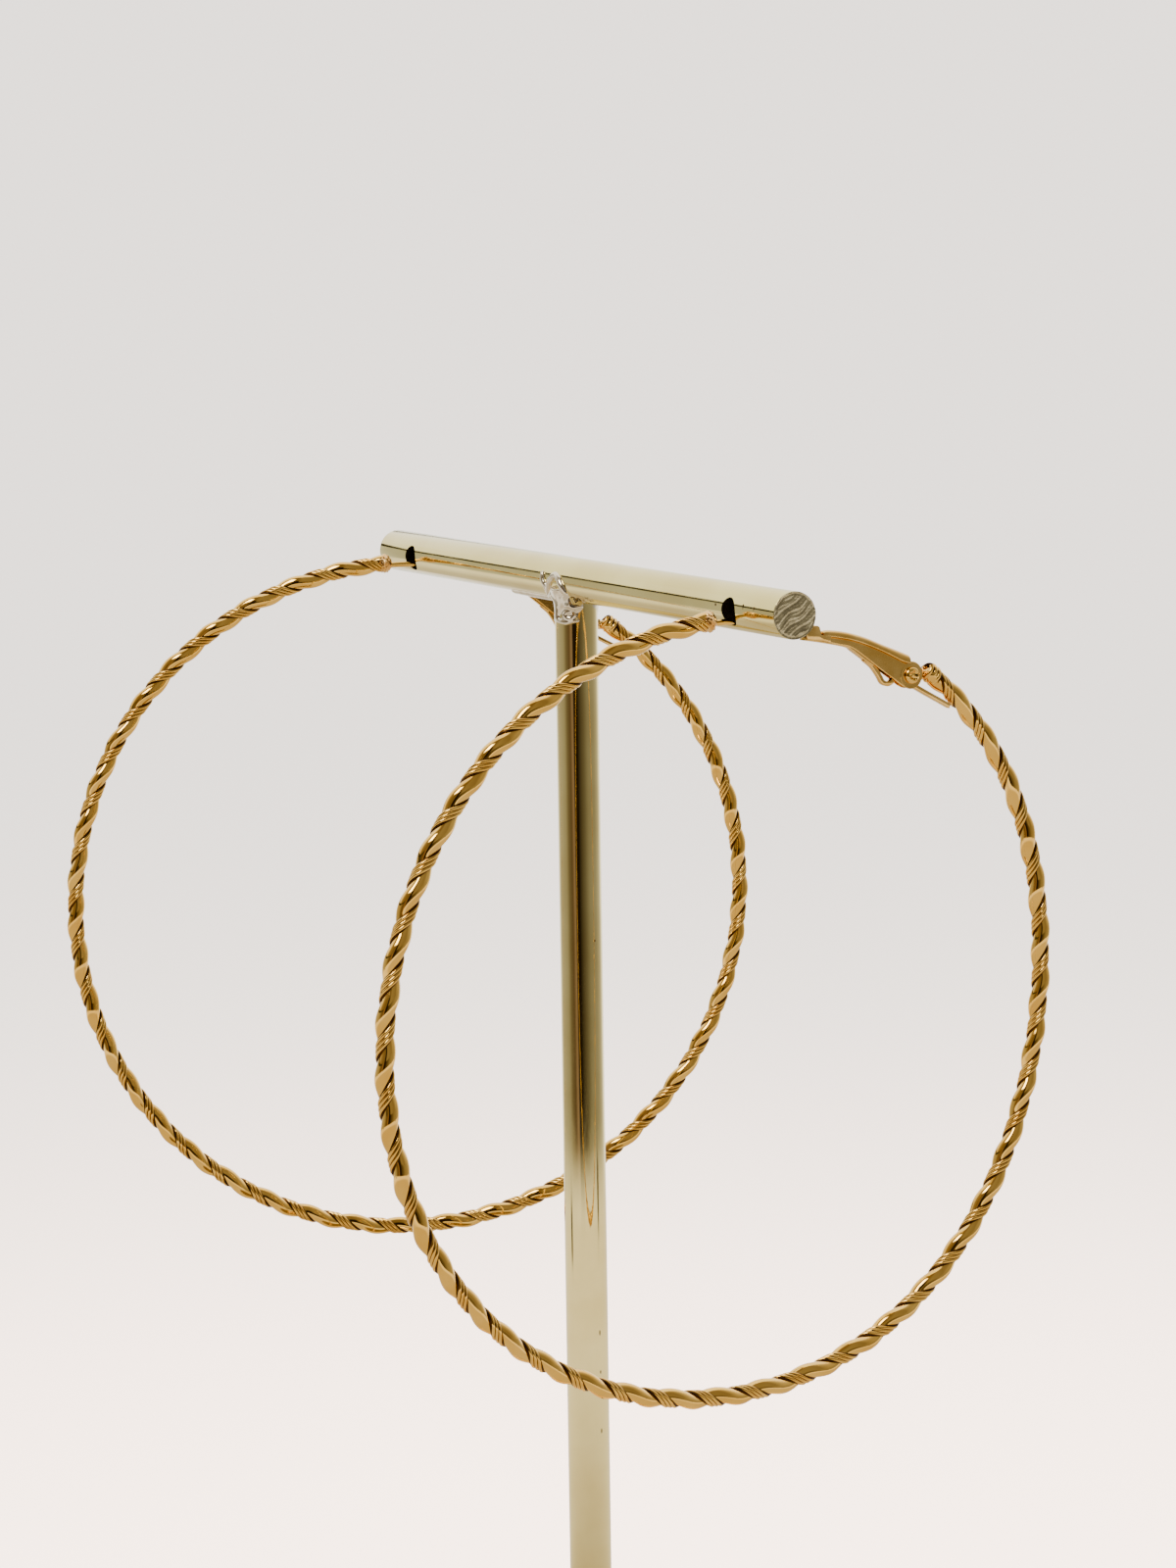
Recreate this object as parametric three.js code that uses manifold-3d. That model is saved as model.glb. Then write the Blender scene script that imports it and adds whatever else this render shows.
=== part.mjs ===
// A pair of large hoop earrings of twisted wire, hung on a t-bar display stand.
// Millimetres, +Z up. The origin is the centre of the base's underside, under the pole.
// The bar runs along Y. Each hoop hangs by its post from a hole through the bar.
import * as THREE from 'three';
import { mergeVertices } from 'three/addons/utils/BufferGeometryUtils.js';
import Module from 'manifold-3d';

const wasm = await Module();
wasm.setup();

// Stand
const BAR_DIAMETER = 5;
const BAR_LENGTH = 101;
const BAR_HEIGHT = 145;
const BAR_CHAMFER = 0.3;
const ROD_SIDES = 24;
const POLE_DIAMETER = 4.9;
const WELD_DIAMETER = 6.2;
const WELD_HEIGHT = 5.2;
const HOLE_DIAMETER = 3;
const HOLE_REACH = 40.72;
const HOLE_DROP = 0.25;
const HOLE_SIDES = 24;
const BASE_DIAMETER = 80;
const BASE_THICKNESS = 6;
const BASE_CHAMFER = 0.8;
const BASE_SIDES = 40;
const SOCKET_DEPTH = 4;
const SEAT_GAP = 0.3;

// Twisted wire: one heavy strand and a ribbon of three fine ones, wound right-handed
const ROPE_RADIUS = 41.97;
const ROPE_START = 93.1;
const ROPE_END = 413.8;
const TWIST_LEAD = 5.895;
const TWIST_PHASE = -46.3;
const HEAVY_RADIUS = 0.85;
const HEAVY_OFFSET = 0.28;
const HEAVY_SIDES = 7;
const HEAVY_STEPS_PER_TURN = 5;
const FINE_STEPS_PER_TURN = 7;
const FINE_INNER = 0.7;
const FINE_OUTER = 0.98;
const FINE_INNER_HALF_WIDTH = 0.52;
const FINE_OUTER_HALF_WIDTH = 0.32;

// Post, a round wire that leaves the rope's first end and goes through the bar
const POST_RADIUS = 0.33;
const POST_SIDES = 8;
const POST_STEPS = 10;
const POST_INSET = 0.21;
const POST_START = 96;
const POST_END = 74.6;

// Hinge block, soldered into the rope's last end; offsets are from the rope's end
const HINGE_OFFSET_U = -2.28;
const HINGE_OFFSET_V = -0.4;
const BLOCK_THICKNESS = 0.8;
const BLOCK_HEIGHT = 1.25;
const BLOCK_LENGTH = 1.79;
const KNUCKLE_RADIUS = 1.05;
const PEG_RADIUS = 0.42;
const PEG_DEPTH = 1.3;

// Rivet
const RIVET_RADIUS = 0.45;
const RIVET_CLEARANCE = 0.12;
const RIVET_SIDES = 10;
const RIVET_HEAD_RADIUS = 0.9;
const RIVET_HEAD_HEIGHT = 0.38;
const RIVET_HEAD_GAP = 0.08;

// Latch lever, a folded channel with two ears; measured from the hinge, u towards the
// hinge end of the rope and v outwards
const WALL_SHARE = 0.28;
const SKIN_THICKNESS = 0.4;
const FOLD_RADIUS = 0.6;
const EAR_RADIUS = 1.5;
const EAR_SIDES = 20;
const LEVER_STATIONS = [
    { u: -10.72, top: 5.60, low: 4.25, halfWidth: 0.56 },
    { u: -9.45, top: 5.45, low: 3.95, halfWidth: 0.57 },
    { u: -7.75, top: 5.10, low: 3.50, halfWidth: 0.58 },
    { u: -5.85, top: 4.52, low: 2.25, halfWidth: 0.60 },
    { u: -3.65, top: 3.62, low: 0.65, halfWidth: 0.61 },
    { u: -2.15, top: 3.02, low: -0.38, halfWidth: 0.62 },
    { u: -1.05, top: 2.58, low: -1.15, halfWidth: 0.62 },
    { u: -0.15, top: 2.20, low: -1.46, halfWidth: 0.62 },
];
const STRAP_THICKNESS = 0.35;
const FLOOR_ROUTE = [
    { u: -13.87, v: 4.90 },
    { u: -11.27, v: 4.42 },
    { u: -8.27, v: 3.73 },
    { u: -7.27, v: 3.15 },
    { u: -4.87, v: 1.45 },
];
const FLOOR_HALF_WIDTH = 0.44;
const LOOP_ROUTE = [
    { u: -5.9, v: 2.16 },
    { u: -4.81, v: 1.3 },
    { u: -3.95, v: 0.2 },
    { u: -3.61, v: -0.38 },
    { u: -3.26, v: -0.65 },
    { u: -2.83, v: -0.75 },
    { u: -2.41, v: -0.61 },
    { u: -2.11, v: -0.37 },
];
const LOOP_HALF_WIDTH = 0.3;
const PRONG_OUTLINE = [
    { u: -13.6, v: 4.84 },
    { u: -11.4, v: 4.46 },
    { u: -10.5, v: 4.25 },
    { u: -10.5, v: 5.00 },
    { u: -11.75, v: 5.20 },
    { u: -11.85, v: 5.90 },
    { u: -12.2, v: 6.22 },
    { u: -13.1, v: 6.22 },
    { u: -13.6, v: 5.80 },
];
const PRONG_INNER = 0.38;
const PRONG_THICKNESS = 0.2;
const LEVER_REACH = { u: -11.85, v: 5.75 };

// Spring leaf under the ears
const LEAF_ROUTE = [
    { u: 0.6, v: -1.22 },
    { u: 2.2, v: -2.14 },
    { u: 5.4, v: -4.01 },
];
const LEAF_THICKNESS = 0.35;
const LEAF_HALF_WIDTH = 0.38;

// Where each hoop hangs, with its turn about Z and how far it is bent out of round:
// the outward bend is the sum of cosine and sine waves, two to four round the hoop
const HOOPS = [
    {
        name: 'front',
        centre: new THREE.Vector3(-2.42, -40.89, -42.75),
        turn: 5.05,
        bends: [
            { waves: 2, cosine: -0.141, sine: 0.294 },
            { waves: 3, cosine: -0.446, sine: 0.092 },
            { waves: 4, cosine: -0.245, sine: 0.090 },
        ],
    },
    {
        name: 'back',
        centre: new THREE.Vector3(-2.71, 41.45, -42.79),
        turn: -14.4,
        bends: [],
    },
];

// Finishes
const champagneMetal = new THREE.MeshStandardMaterial({ color: 0xc9c3a3, roughness: 0.22, metalness: 1 });
const polishedGold = new THREE.MeshStandardMaterial({ color: 0xd9a441, roughness: 0.12, metalness: 1 });
const satinGold = new THREE.MeshStandardMaterial({ color: 0xc89a4e, roughness: 0.35, metalness: 1 });

const radians = THREE.MathUtils.degToRad;

// A closed geometry as a solid that can be joined and cut
function toSolid(geometry) {
    const bare = geometry.clone();
    bare.deleteAttribute('normal');
    bare.deleteAttribute('uv');
    const merged = mergeVertices(bare, 1e-5);
    const corners = merged.index.array;
    const kept = [];
    for (let i = 0; i < corners.length; i += 3) {
        const [a, b, c] = [corners[i], corners[i + 1], corners[i + 2]];
        if (a !== b && b !== c && c !== a) {
            kept.push(a, b, c);
        }
    }
    const vertProperties = new Float32Array(merged.attributes.position.array);
    const triVerts = new Uint32Array(kept);
    return new wasm.Manifold(new wasm.Mesh({ numProp: 3, vertProperties, triVerts }));
}

function toGeometry(solid) {
    const mesh = solid.getMesh();
    const geometry = new THREE.BufferGeometry();
    geometry.setAttribute('position', new THREE.BufferAttribute(mesh.vertProperties, 3));
    geometry.setIndex(new THREE.BufferAttribute(mesh.triVerts, 1));
    geometry.computeVertexNormals();
    return geometry;
}

function joined(geometries) {
    return geometries.map(toSolid).reduce((whole, piece) => whole.add(piece));
}

function named(name, geometry, material) {
    const mesh = new THREE.Mesh(geometry, material);
    mesh.name = name;
    return mesh;
}

// A regular polygon as a shape
function roundShape(radius, sides, centreX = 0, centreY = 0) {
    const points = [];
    for (let i = 0; i < sides; i += 1) {
        const angle = (2 * Math.PI * (i + 0.5)) / sides;
        points.push(new THREE.Vector2(
            centreX + radius * Math.cos(angle),
            centreY + radius * Math.sin(angle),
        ));
    }
    return new THREE.Shape(points);
}

// A flat plate drawn in u and v, standing across the hoop from one depth to another
function plate(shape, from, to) {
    const geometry = new THREE.ExtrudeGeometry(shape, { depth: to - from, bevelEnabled: false });
    geometry.rotateX(Math.PI / 2);
    geometry.translate(0, to, 0);
    return geometry;
}

// The outline of a bent strip of one thickness along a route in u and v
function stripShape(route, thickness) {
    const points = route.map(({ u, v }) => new THREE.Vector2(u, v));
    const sides = points.map((point, i) => {
        const before = points[Math.max(i - 1, 0)];
        const after = points[Math.min(i + 1, points.length - 1)];
        const along = after.clone().sub(before).normalize();
        return new THREE.Vector2(-along.y, along.x).multiplyScalar(thickness / 2);
    });
    const upper = points.map((point, i) => point.clone().add(sides[i]));
    const lower = points.map((point, i) => point.clone().sub(sides[i]));
    return new THREE.Shape([...lower, ...upper.reverse()]);
}

// The hoop's line: a circle bent a little out of round
function ringRadius(hoop, angle) {
    return hoop.bends.reduce(
        (radius, { waves, cosine, sine }) => (
            radius + cosine * Math.cos(waves * angle) + sine * Math.sin(waves * angle)
        ),
        ROPE_RADIUS,
    );
}

function ringPoint(hoop, angle) {
    const radius = ringRadius(hoop, angle);
    return new THREE.Vector3(radius * Math.cos(angle), 0, radius * Math.sin(angle));
}

// How far the ribbon of fine strands has wound at an angle round the hoop
function twistAt(angle) {
    return radians(TWIST_PHASE) + (2 * Math.PI * ROPE_RADIUS * angle) / TWIST_LEAD;
}

// A line that winds round the hoop's line, with its sections in the hoop's radial planes.
// The sections turn with the twist where turning is 1, and not at 0.
class WoundPath extends THREE.Curve {
    constructor(hoop, start, end, offset, turning) {
        super();
        Object.assign(this, { hoop, start, end, offset, turning });
    }

    angleAt(t) {
        return radians(THREE.MathUtils.lerp(this.start, this.end, t));
    }

    getPoint(t, target = new THREE.Vector3()) {
        const angle = this.angleAt(t);
        const twist = twistAt(angle);
        const outward = new THREE.Vector3(Math.cos(angle), 0, Math.sin(angle));
        target.copy(ringPoint(this.hoop, angle));
        target.addScaledVector(outward, this.offset * Math.cos(twist));
        target.y += this.offset * Math.sin(twist);
        return target;
    }

    getPointAt(t, target) {
        return this.getPoint(t, target);
    }

    computeFrenetFrames(segments) {
        const frames = { tangents: [], normals: [], binormals: [] };
        for (let i = 0; i <= segments; i += 1) {
            const angle = this.angleAt(i / segments);
            const outward = new THREE.Vector3(Math.cos(angle), 0, Math.sin(angle));
            const across = new THREE.Vector3(0, 1, 0);
            const along = outward.clone().cross(across);
            const twist = this.turning * twistAt(angle);
            frames.tangents.push(along);
            frames.normals.push(outward.applyAxisAngle(along, twist));
            frames.binormals.push(across.applyAxisAngle(along, twist));
        }
        return frames;
    }
}

function ropeSteps(stepsPerTurn) {
    const length = radians(ROPE_END - ROPE_START) * ROPE_RADIUS;
    return Math.round((stepsPerTurn * length) / TWIST_LEAD);
}

function heavyStrand(hoop) {
    const path = new WoundPath(hoop, ROPE_START, ROPE_END, -HEAVY_OFFSET, 0);
    return new THREE.ExtrudeGeometry(roundShape(HEAVY_RADIUS, HEAVY_SIDES), {
        steps: ropeSteps(HEAVY_STEPS_PER_TURN),
        extrudePath: path,
        bevelEnabled: false,
    });
}

// A closed tube through rings of points. Each face is split along its shorter diagonal,
// so that a twisted tube doesn't cut into itself.
function tube(rings) {
    const sides = rings[0].length;
    const points = rings.flat();
    const corners = [];
    for (let start = 0; start < points.length - sides; start += sides) {
        for (let side = 0; side < sides; side += 1) {
            const a = start + side;
            const b = start + ((side + 1) % sides);
            const c = b + sides;
            const d = a + sides;
            const isShorter = points[a].distanceTo(points[c]) < points[b].distanceTo(points[d]);
            corners.push(...(isShorter ? [a, b, c, a, c, d] : [a, b, d, b, c, d]));
        }
    }
    const last = points.length - sides;
    for (let side = 1; side < sides - 1; side += 1) {
        corners.push(0, side + 1, side, last, last + side, last + side + 1);
    }
    const geometry = new THREE.BufferGeometry().setFromPoints(points);
    geometry.setIndex(corners);
    geometry.computeVertexNormals();
    return geometry;
}

// The ribbon of fine strands, which faces outwards from the heavy strand all the way
function fineStrands(hoop) {
    const section = [
        new THREE.Vector2(FINE_INNER, -FINE_INNER_HALF_WIDTH),
        new THREE.Vector2(FINE_OUTER, -FINE_OUTER_HALF_WIDTH),
        new THREE.Vector2(FINE_OUTER, FINE_OUTER_HALF_WIDTH),
        new THREE.Vector2(FINE_INNER, FINE_INNER_HALF_WIDTH),
    ];
    const steps = ropeSteps(FINE_STEPS_PER_TURN);
    const path = new WoundPath(hoop, ROPE_START, ROPE_END, 0, 1);
    const { normals, binormals } = path.computeFrenetFrames(steps);
    const rings = normals.map((normal, i) => {
        const centre = path.getPoint(i / steps);
        return section.map(({ x, y }) => (
            centre.clone().addScaledVector(normal, x).addScaledVector(binormals[i], y)
        ));
    });
    return tube(rings);
}

// The post keeps the hoop's curve at a slightly smaller radius
function postRadiusOf(hoop) {
    return ringRadius(hoop, radians(ROPE_START)) - POST_INSET;
}

function post(hoop) {
    const radius = postRadiusOf(hoop);
    const arc = new WoundPath({ bends: [] }, POST_END, POST_START, 0, 0);
    return new THREE.ExtrudeGeometry(
        roundShape(POST_RADIUS, POST_SIDES, radius - ROPE_RADIUS, 0),
        { steps: POST_STEPS, extrudePath: arc, bevelEnabled: false },
    );
}

function hingeOf(hoop) {
    const end = ringPoint(hoop, radians(ROPE_END));
    return new THREE.Vector3(end.x + HINGE_OFFSET_U, 0, end.z + HINGE_OFFSET_V);
}

function cylinderAcross(radius, length, sides) {
    return new THREE.CylinderGeometry(radius, radius, length, sides);
}

// The block that the rivet goes through, with a peg that is soldered into the rope
function hingeBlock(hoop) {
    const half = BLOCK_HEIGHT / 2;
    const bar = new THREE.Shape([
        new THREE.Vector2(0, -half),
        new THREE.Vector2(BLOCK_LENGTH, -half),
        new THREE.Vector2(BLOCK_LENGTH, half),
        new THREE.Vector2(0, half),
    ]);
    const thick = BLOCK_THICKNESS / 2;
    const peg = new THREE.CylinderGeometry(PEG_RADIUS, PEG_RADIUS, PEG_DEPTH, POST_SIDES);
    peg.rotateZ(Math.PI / 2);
    peg.translate(BLOCK_LENGTH + PEG_DEPTH / 2 - SEAT_GAP, 0, 0);
    const block = joined([
        plate(bar, -thick, thick),
        plate(roundShape(KNUCKLE_RADIUS, EAR_SIDES), -thick, thick),
        peg,
    ]);
    const hole = cylinderAcross(RIVET_RADIUS + RIVET_CLEARANCE, 2 * BLOCK_THICKNESS, RIVET_SIDES);
    const hinge = hingeOf(hoop);
    return block.subtract(toSolid(hole)).translate([hinge.x, hinge.y, hinge.z]);
}

// The heavy strand with what is soldered to it: the post and the hinge block
function heavyStrandWithFittings(hoop) {
    const soldered = joined([heavyStrand(hoop), post(hoop)]).add(hingeBlock(hoop));
    return toGeometry(soldered);
}

function springLeaf() {
    return plate(stripShape(LEAF_ROUTE, LEAF_THICKNESS), -LEAF_HALF_WIDTH, LEAF_HALF_WIDTH);
}

function rivet() {
    const face = LEVER_STATIONS.at(-1).halfWidth + RIVET_HEAD_GAP;
    const half = [
        new THREE.Vector2(RIVET_RADIUS, face),
        new THREE.Vector2(RIVET_HEAD_RADIUS, face),
        new THREE.Vector2(RIVET_HEAD_RADIUS, face + RIVET_HEAD_HEIGHT * 0.35),
        new THREE.Vector2(RIVET_HEAD_RADIUS * 0.62, face + RIVET_HEAD_HEIGHT * 0.85),
        new THREE.Vector2(0, face + RIVET_HEAD_HEIGHT),
    ];
    const mirrored = half.map(({ x, y }) => new THREE.Vector2(x, -y)).reverse();
    return toGeometry(toSolid(new THREE.LatheGeometry([...mirrored, ...half], RIVET_SIDES)));
}

// The channel's section, with its walls' lower edges marked: a wall ends at LOW, and
// every other height is measured down from the skin's top
const LOW = -10;
function channelShape() {
    const inner = 1 - WALL_SHARE;
    const half = [
        [1, LOW],
        [1, -FOLD_RADIUS],
        [0.82, -FOLD_RADIUS * 0.25],
        [0.45, 0],
    ];
    const innerHalf = [
        [inner, LOW],
        [inner, -SKIN_THICKNESS - FOLD_RADIUS * 0.3],
        [inner * 0.6, -SKIN_THICKNESS],
    ];
    const mirrored = (side) => side.map(([x, y]) => [-x, y]);
    const outline = [
        ...half,
        ...mirrored(half).reverse(),
        ...mirrored(innerHalf),
        ...[...innerHalf].reverse(),
    ];
    return new THREE.Shape(outline.map(([x, y]) => new THREE.Vector2(x, y)));
}

// The folded channel, lofted through its stations from the tip to the hinge
function channel() {
    const steps = LEVER_STATIONS.length - 1;
    const geometry = new THREE.ExtrudeGeometry(channelShape(), {
        steps,
        depth: steps,
        bevelEnabled: false,
    });
    const position = geometry.attributes.position;
    for (let i = 0; i < position.count; i += 1) {
        const station = LEVER_STATIONS[Math.round(position.getZ(i))];
        const height = position.getY(i);
        const v = height === LOW ? station.low : station.top + height;
        position.setXYZ(i, station.u, position.getX(i) * station.halfWidth, v);
    }
    return geometry;
}

function ears() {
    const outer = LEVER_STATIONS.at(-1).halfWidth;
    const inner = outer * (1 - WALL_SHARE);
    const disc = roundShape(EAR_RADIUS, EAR_SIDES);
    return [plate(disc, inner, outer), plate(disc, -outer, -inner)];
}

function prongs() {
    const outline = new THREE.Shape(PRONG_OUTLINE.map(({ u, v }) => new THREE.Vector2(u, v)));
    const outer = PRONG_INNER + PRONG_THICKNESS;
    return [plate(outline, PRONG_INNER, outer), plate(outline, -outer, -PRONG_INNER)];
}

// The latch lever: channel, ears, the strap that closes it below and curls into a loop,
// and the two prongs that take the post between them
function latchLever() {
    const floor = plate(stripShape(FLOOR_ROUTE, STRAP_THICKNESS), -FLOOR_HALF_WIDTH, FLOOR_HALF_WIDTH);
    const loop = plate(stripShape(LOOP_ROUTE, STRAP_THICKNESS), -LOOP_HALF_WIDTH, LOOP_HALF_WIDTH);
    const whole = joined([channel(), ...ears(), floor, loop, ...prongs()]);
    const hole = cylinderAcross(RIVET_RADIUS + RIVET_CLEARANCE, 4 * EAR_RADIUS, RIVET_SIDES);
    return toGeometry(whole.subtract(toSolid(hole)));
}

// How far the lever is turned about its hinge for its prongs to meet the post's tip
function leverTurn(hoop) {
    const tip = new THREE.Vector2(Math.cos(radians(POST_END)), Math.sin(radians(POST_END)));
    tip.multiplyScalar(postRadiusOf(hoop));
    const hinge = hingeOf(hoop);
    const wanted = Math.atan2(tip.y - hinge.z, tip.x - hinge.x);
    return wanted - Math.atan2(LEVER_REACH.v, LEVER_REACH.u);
}

function earring(hoop) {
    const hinge = hingeOf(hoop);
    const leaf = named(`${hoop.name}_spring_leaf`, springLeaf(), satinGold);
    const lever = named(`${hoop.name}_latch_lever`, latchLever(), satinGold);
    const pin = named(`${hoop.name}_rivet`, rivet(), polishedGold);
    for (const piece of [leaf, lever, pin]) {
        piece.position.copy(hinge);
    }
    lever.rotation.y = -leverTurn(hoop);
    const group = new THREE.Group();
    group.add(
        named(`${hoop.name}_heavy_strand`, heavyStrandWithFittings(hoop), polishedGold),
        named(`${hoop.name}_fine_strands`, fineStrands(hoop), polishedGold),
        leaf,
        lever,
        pin,
    );
    group.position.copy(hoop.centre);
    group.position.z += BAR_HEIGHT;
    group.rotation.z = radians(hoop.turn);
    return group;
}

// A round rod along Y with chamfered ends
function rod(diameter, length, chamfer) {
    const radius = diameter / 2;
    const half = length / 2;
    return new THREE.LatheGeometry([
        new THREE.Vector2(0, -half),
        new THREE.Vector2(radius - chamfer, -half),
        new THREE.Vector2(radius, -half + chamfer),
        new THREE.Vector2(radius, half - chamfer),
        new THREE.Vector2(radius - chamfer, half),
        new THREE.Vector2(0, half),
    ], ROD_SIDES);
}

function tBar() {
    const bar = rod(BAR_DIAMETER, BAR_LENGTH, BAR_CHAMFER);
    const foot = BASE_THICKNESS - SOCKET_DEPTH + SEAT_GAP;
    const pole = rod(POLE_DIAMETER, BAR_HEIGHT - foot, BAR_CHAMFER);
    pole.rotateX(Math.PI / 2);
    pole.translate(0, 0, (foot - BAR_HEIGHT) / 2);
    const weld = new THREE.CylinderGeometry(WELD_DIAMETER / 2, POLE_DIAMETER / 2, WELD_HEIGHT, ROD_SIDES);
    weld.rotateX(Math.PI / 2);
    weld.translate(0, 0, -WELD_HEIGHT / 2);
    let solid = joined([bar, pole, weld]);
    for (const side of [-1, 1]) {
        const hole = new THREE.CylinderGeometry(
            HOLE_DIAMETER / 2, HOLE_DIAMETER / 2, 2 * BAR_DIAMETER, HOLE_SIDES,
        );
        hole.rotateZ(Math.PI / 2);
        hole.translate(0, side * HOLE_REACH, -HOLE_DROP);
        solid = solid.subtract(toSolid(hole));
    }
    return toGeometry(solid.translate([0, 0, BAR_HEIGHT]));
}

function base() {
    const radius = BASE_DIAMETER / 2;
    const socket = POLE_DIAMETER / 2 + SEAT_GAP;
    const floor = BASE_THICKNESS - SOCKET_DEPTH;
    const disc = new THREE.LatheGeometry([
        new THREE.Vector2(0, 0),
        new THREE.Vector2(radius, 0),
        new THREE.Vector2(radius, BASE_THICKNESS - BASE_CHAMFER),
        new THREE.Vector2(radius - BASE_CHAMFER, BASE_THICKNESS),
        new THREE.Vector2(socket, BASE_THICKNESS),
        new THREE.Vector2(socket, floor),
        new THREE.Vector2(0, floor),
    ], BASE_SIDES);
    disc.rotateX(Math.PI / 2);
    return toGeometry(toSolid(disc));
}

const model = new THREE.Group();
model.add(named('base', base(), champagneMetal), named('t_bar', tBar(), champagneMetal));
for (const hoop of HOOPS) {
    model.add(earring(hoop));
}

export default model;
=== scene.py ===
"""A pair of twisted-wire hoop earrings with latch levers, hung on a plain t-bar stand.

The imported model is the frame. Every piece is built in the frame's own axes, from sizes that
are named in millimetres, and rides on the body that carries it. A hoop's own axes are u, along
its plane, n, across it, and v, up.
"""

from __future__ import annotations

import logging
import math
from dataclasses import dataclass
from enum import Enum
from typing import Sequence

import bmesh
import bpy
import numpy as np
from mathutils import Matrix, Vector

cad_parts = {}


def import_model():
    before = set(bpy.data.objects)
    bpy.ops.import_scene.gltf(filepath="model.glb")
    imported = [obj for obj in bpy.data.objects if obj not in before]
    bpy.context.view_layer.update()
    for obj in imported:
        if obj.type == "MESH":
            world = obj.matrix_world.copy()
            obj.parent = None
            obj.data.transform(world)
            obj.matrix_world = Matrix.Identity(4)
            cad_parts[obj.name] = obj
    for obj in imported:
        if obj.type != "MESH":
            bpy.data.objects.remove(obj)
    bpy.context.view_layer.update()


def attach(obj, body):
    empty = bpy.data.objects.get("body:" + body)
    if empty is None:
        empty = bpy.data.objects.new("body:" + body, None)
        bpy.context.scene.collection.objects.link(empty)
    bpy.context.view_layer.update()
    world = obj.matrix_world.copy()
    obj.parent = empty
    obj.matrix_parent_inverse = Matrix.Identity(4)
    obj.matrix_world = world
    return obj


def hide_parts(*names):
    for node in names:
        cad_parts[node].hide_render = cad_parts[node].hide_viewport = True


LOG = logging.getLogger("hoop_earrings")
MM = 0.001
FULL_TURN = 2 * math.pi
Triple = tuple[float, float, float]
Colour = Triple
Route = tuple[tuple[float, float], ...]
Socket = bpy.types.NodeSocket
Piece = bpy.types.Object


class Body(str, Enum):
    """The bodies of the frame that the pieces ride on."""

    STAND = "stand_and_hoops"
    FRONT_LATCH = "front_latch"
    BACK_LATCH = "back_latch"


class Slot(str, Enum):
    """The record's material slots."""

    CHAMPAGNE = "champagne_metal"
    POLISHED = "polished_gold"
    SATIN = "satin_gold"


# Materials


class NodeTree:
    """Adds nodes to a shader tree and links them, in few words."""

    # The places of a mix node's colours among its inputs and outputs
    FIRST_COLOUR = 6
    SECOND_COLOUR = 7
    MIXED_COLOUR = 2

    def __init__(self, tree: bpy.types.NodeTree) -> None:
        """Starts from an empty tree."""
        self.tree = tree
        tree.nodes.clear()

    def feed(self, target: Socket, value: object) -> None:
        """Links a socket to an input, or sets the input to a number, a scale or a colour."""
        if isinstance(value, Socket):
            self.tree.links.new(value, target)
        elif target.type == "RGBA":
            target.default_value = (*value, 1.0)
        else:
            target.default_value = value

    def add(self, kind: str, inputs: dict[str | int, object], **settings: object) -> bpy.types.Node:
        """Adds a node.

        Args:
            kind: The node's type name.
            inputs: What its inputs get, by their names or places.
            settings: Values for its properties.

        Returns:
            The new node.
        """
        node = self.tree.nodes.new(kind)
        for key, value in settings.items():
            setattr(node, key, value)
        for key, value in inputs.items():
            self.feed(node.inputs[key], value)
        return node

    def maths(self, operation: str, first: object, second: object = 0.0) -> Socket:
        """Adds a maths node.

        Args:
            operation: Blender's name of the operation.
            first: A socket or a number.
            second: A socket or a number.

        Returns:
            The node's result.
        """
        return self.add("ShaderNodeMath", {0: first, 1: second}, operation=operation).outputs[0]

    def noise(self, vector: Socket, scale: float, detail: float) -> Socket:
        """Adds a noise texture and returns its value from 0 to 1."""
        inputs = {"Vector": vector, "Scale": scale, "Detail": detail}
        return self.add("ShaderNodeTexNoise", inputs).outputs["Fac"]

    def stretched(self, scale: Triple = (1.0, 1.0, 1.0)) -> Socket:
        """Object coordinates, stretched by a scale along each axis."""
        place = self.add("ShaderNodeTexCoord", {}).outputs["Object"]
        return self.add("ShaderNodeMapping", {"Vector": place, "Scale": scale}).outputs["Vector"]

    def ramp(self, value: Socket, stops: Sequence[tuple[float, Colour]]) -> Socket:
        """Adds a colour ramp.

        Args:
            value: What the ramp reads.
            stops: Places from 0 to 1 with their colours.

        Returns:
            The ramp's colour.
        """
        node = self.add("ShaderNodeValToRGB", {"Fac": value})
        elements = node.color_ramp.elements
        for index, (place, colour) in enumerate(stops):
            element = elements[index] if index < 2 else elements.new(place)
            element.position = place
            element.color = (*colour, 1.0)
        return node.outputs["Color"]

    def step(self, value: Socket, nothing: float, all_of_it: float) -> Socket:
        """A smooth step from 0, where the value is nothing, to 1, where it is all_of_it."""
        inputs = {"Value": value, "From Min": nothing, "From Max": all_of_it}
        return self.add("ShaderNodeMapRange", inputs, interpolation_type="SMOOTHSTEP").outputs["Result"]

    def spread(self, noise: Socket, low: float, high: float) -> Socket:
        """Maps the part of a noise's range that most of it lies in to low and high."""
        inputs = {"Value": noise, "From Min": 0.3, "From Max": 0.7, "To Min": low, "To Max": high}
        return self.add("ShaderNodeMapRange", inputs).outputs["Result"]

    def mix(self, share: Socket, first: object, second: object) -> Socket:
        """Mixes two colours, each a socket or three numbers."""
        inputs = {"Factor": share, self.FIRST_COLOUR: first, self.SECOND_COLOUR: second}
        return self.add("ShaderNodeMix", inputs, data_type="RGBA").outputs[self.MIXED_COLOUR]


def new_material(name: str) -> bpy.types.Material:
    """Makes a material that is built from nodes."""
    material = bpy.data.materials.new(name)
    material.use_nodes = True
    return material


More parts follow.
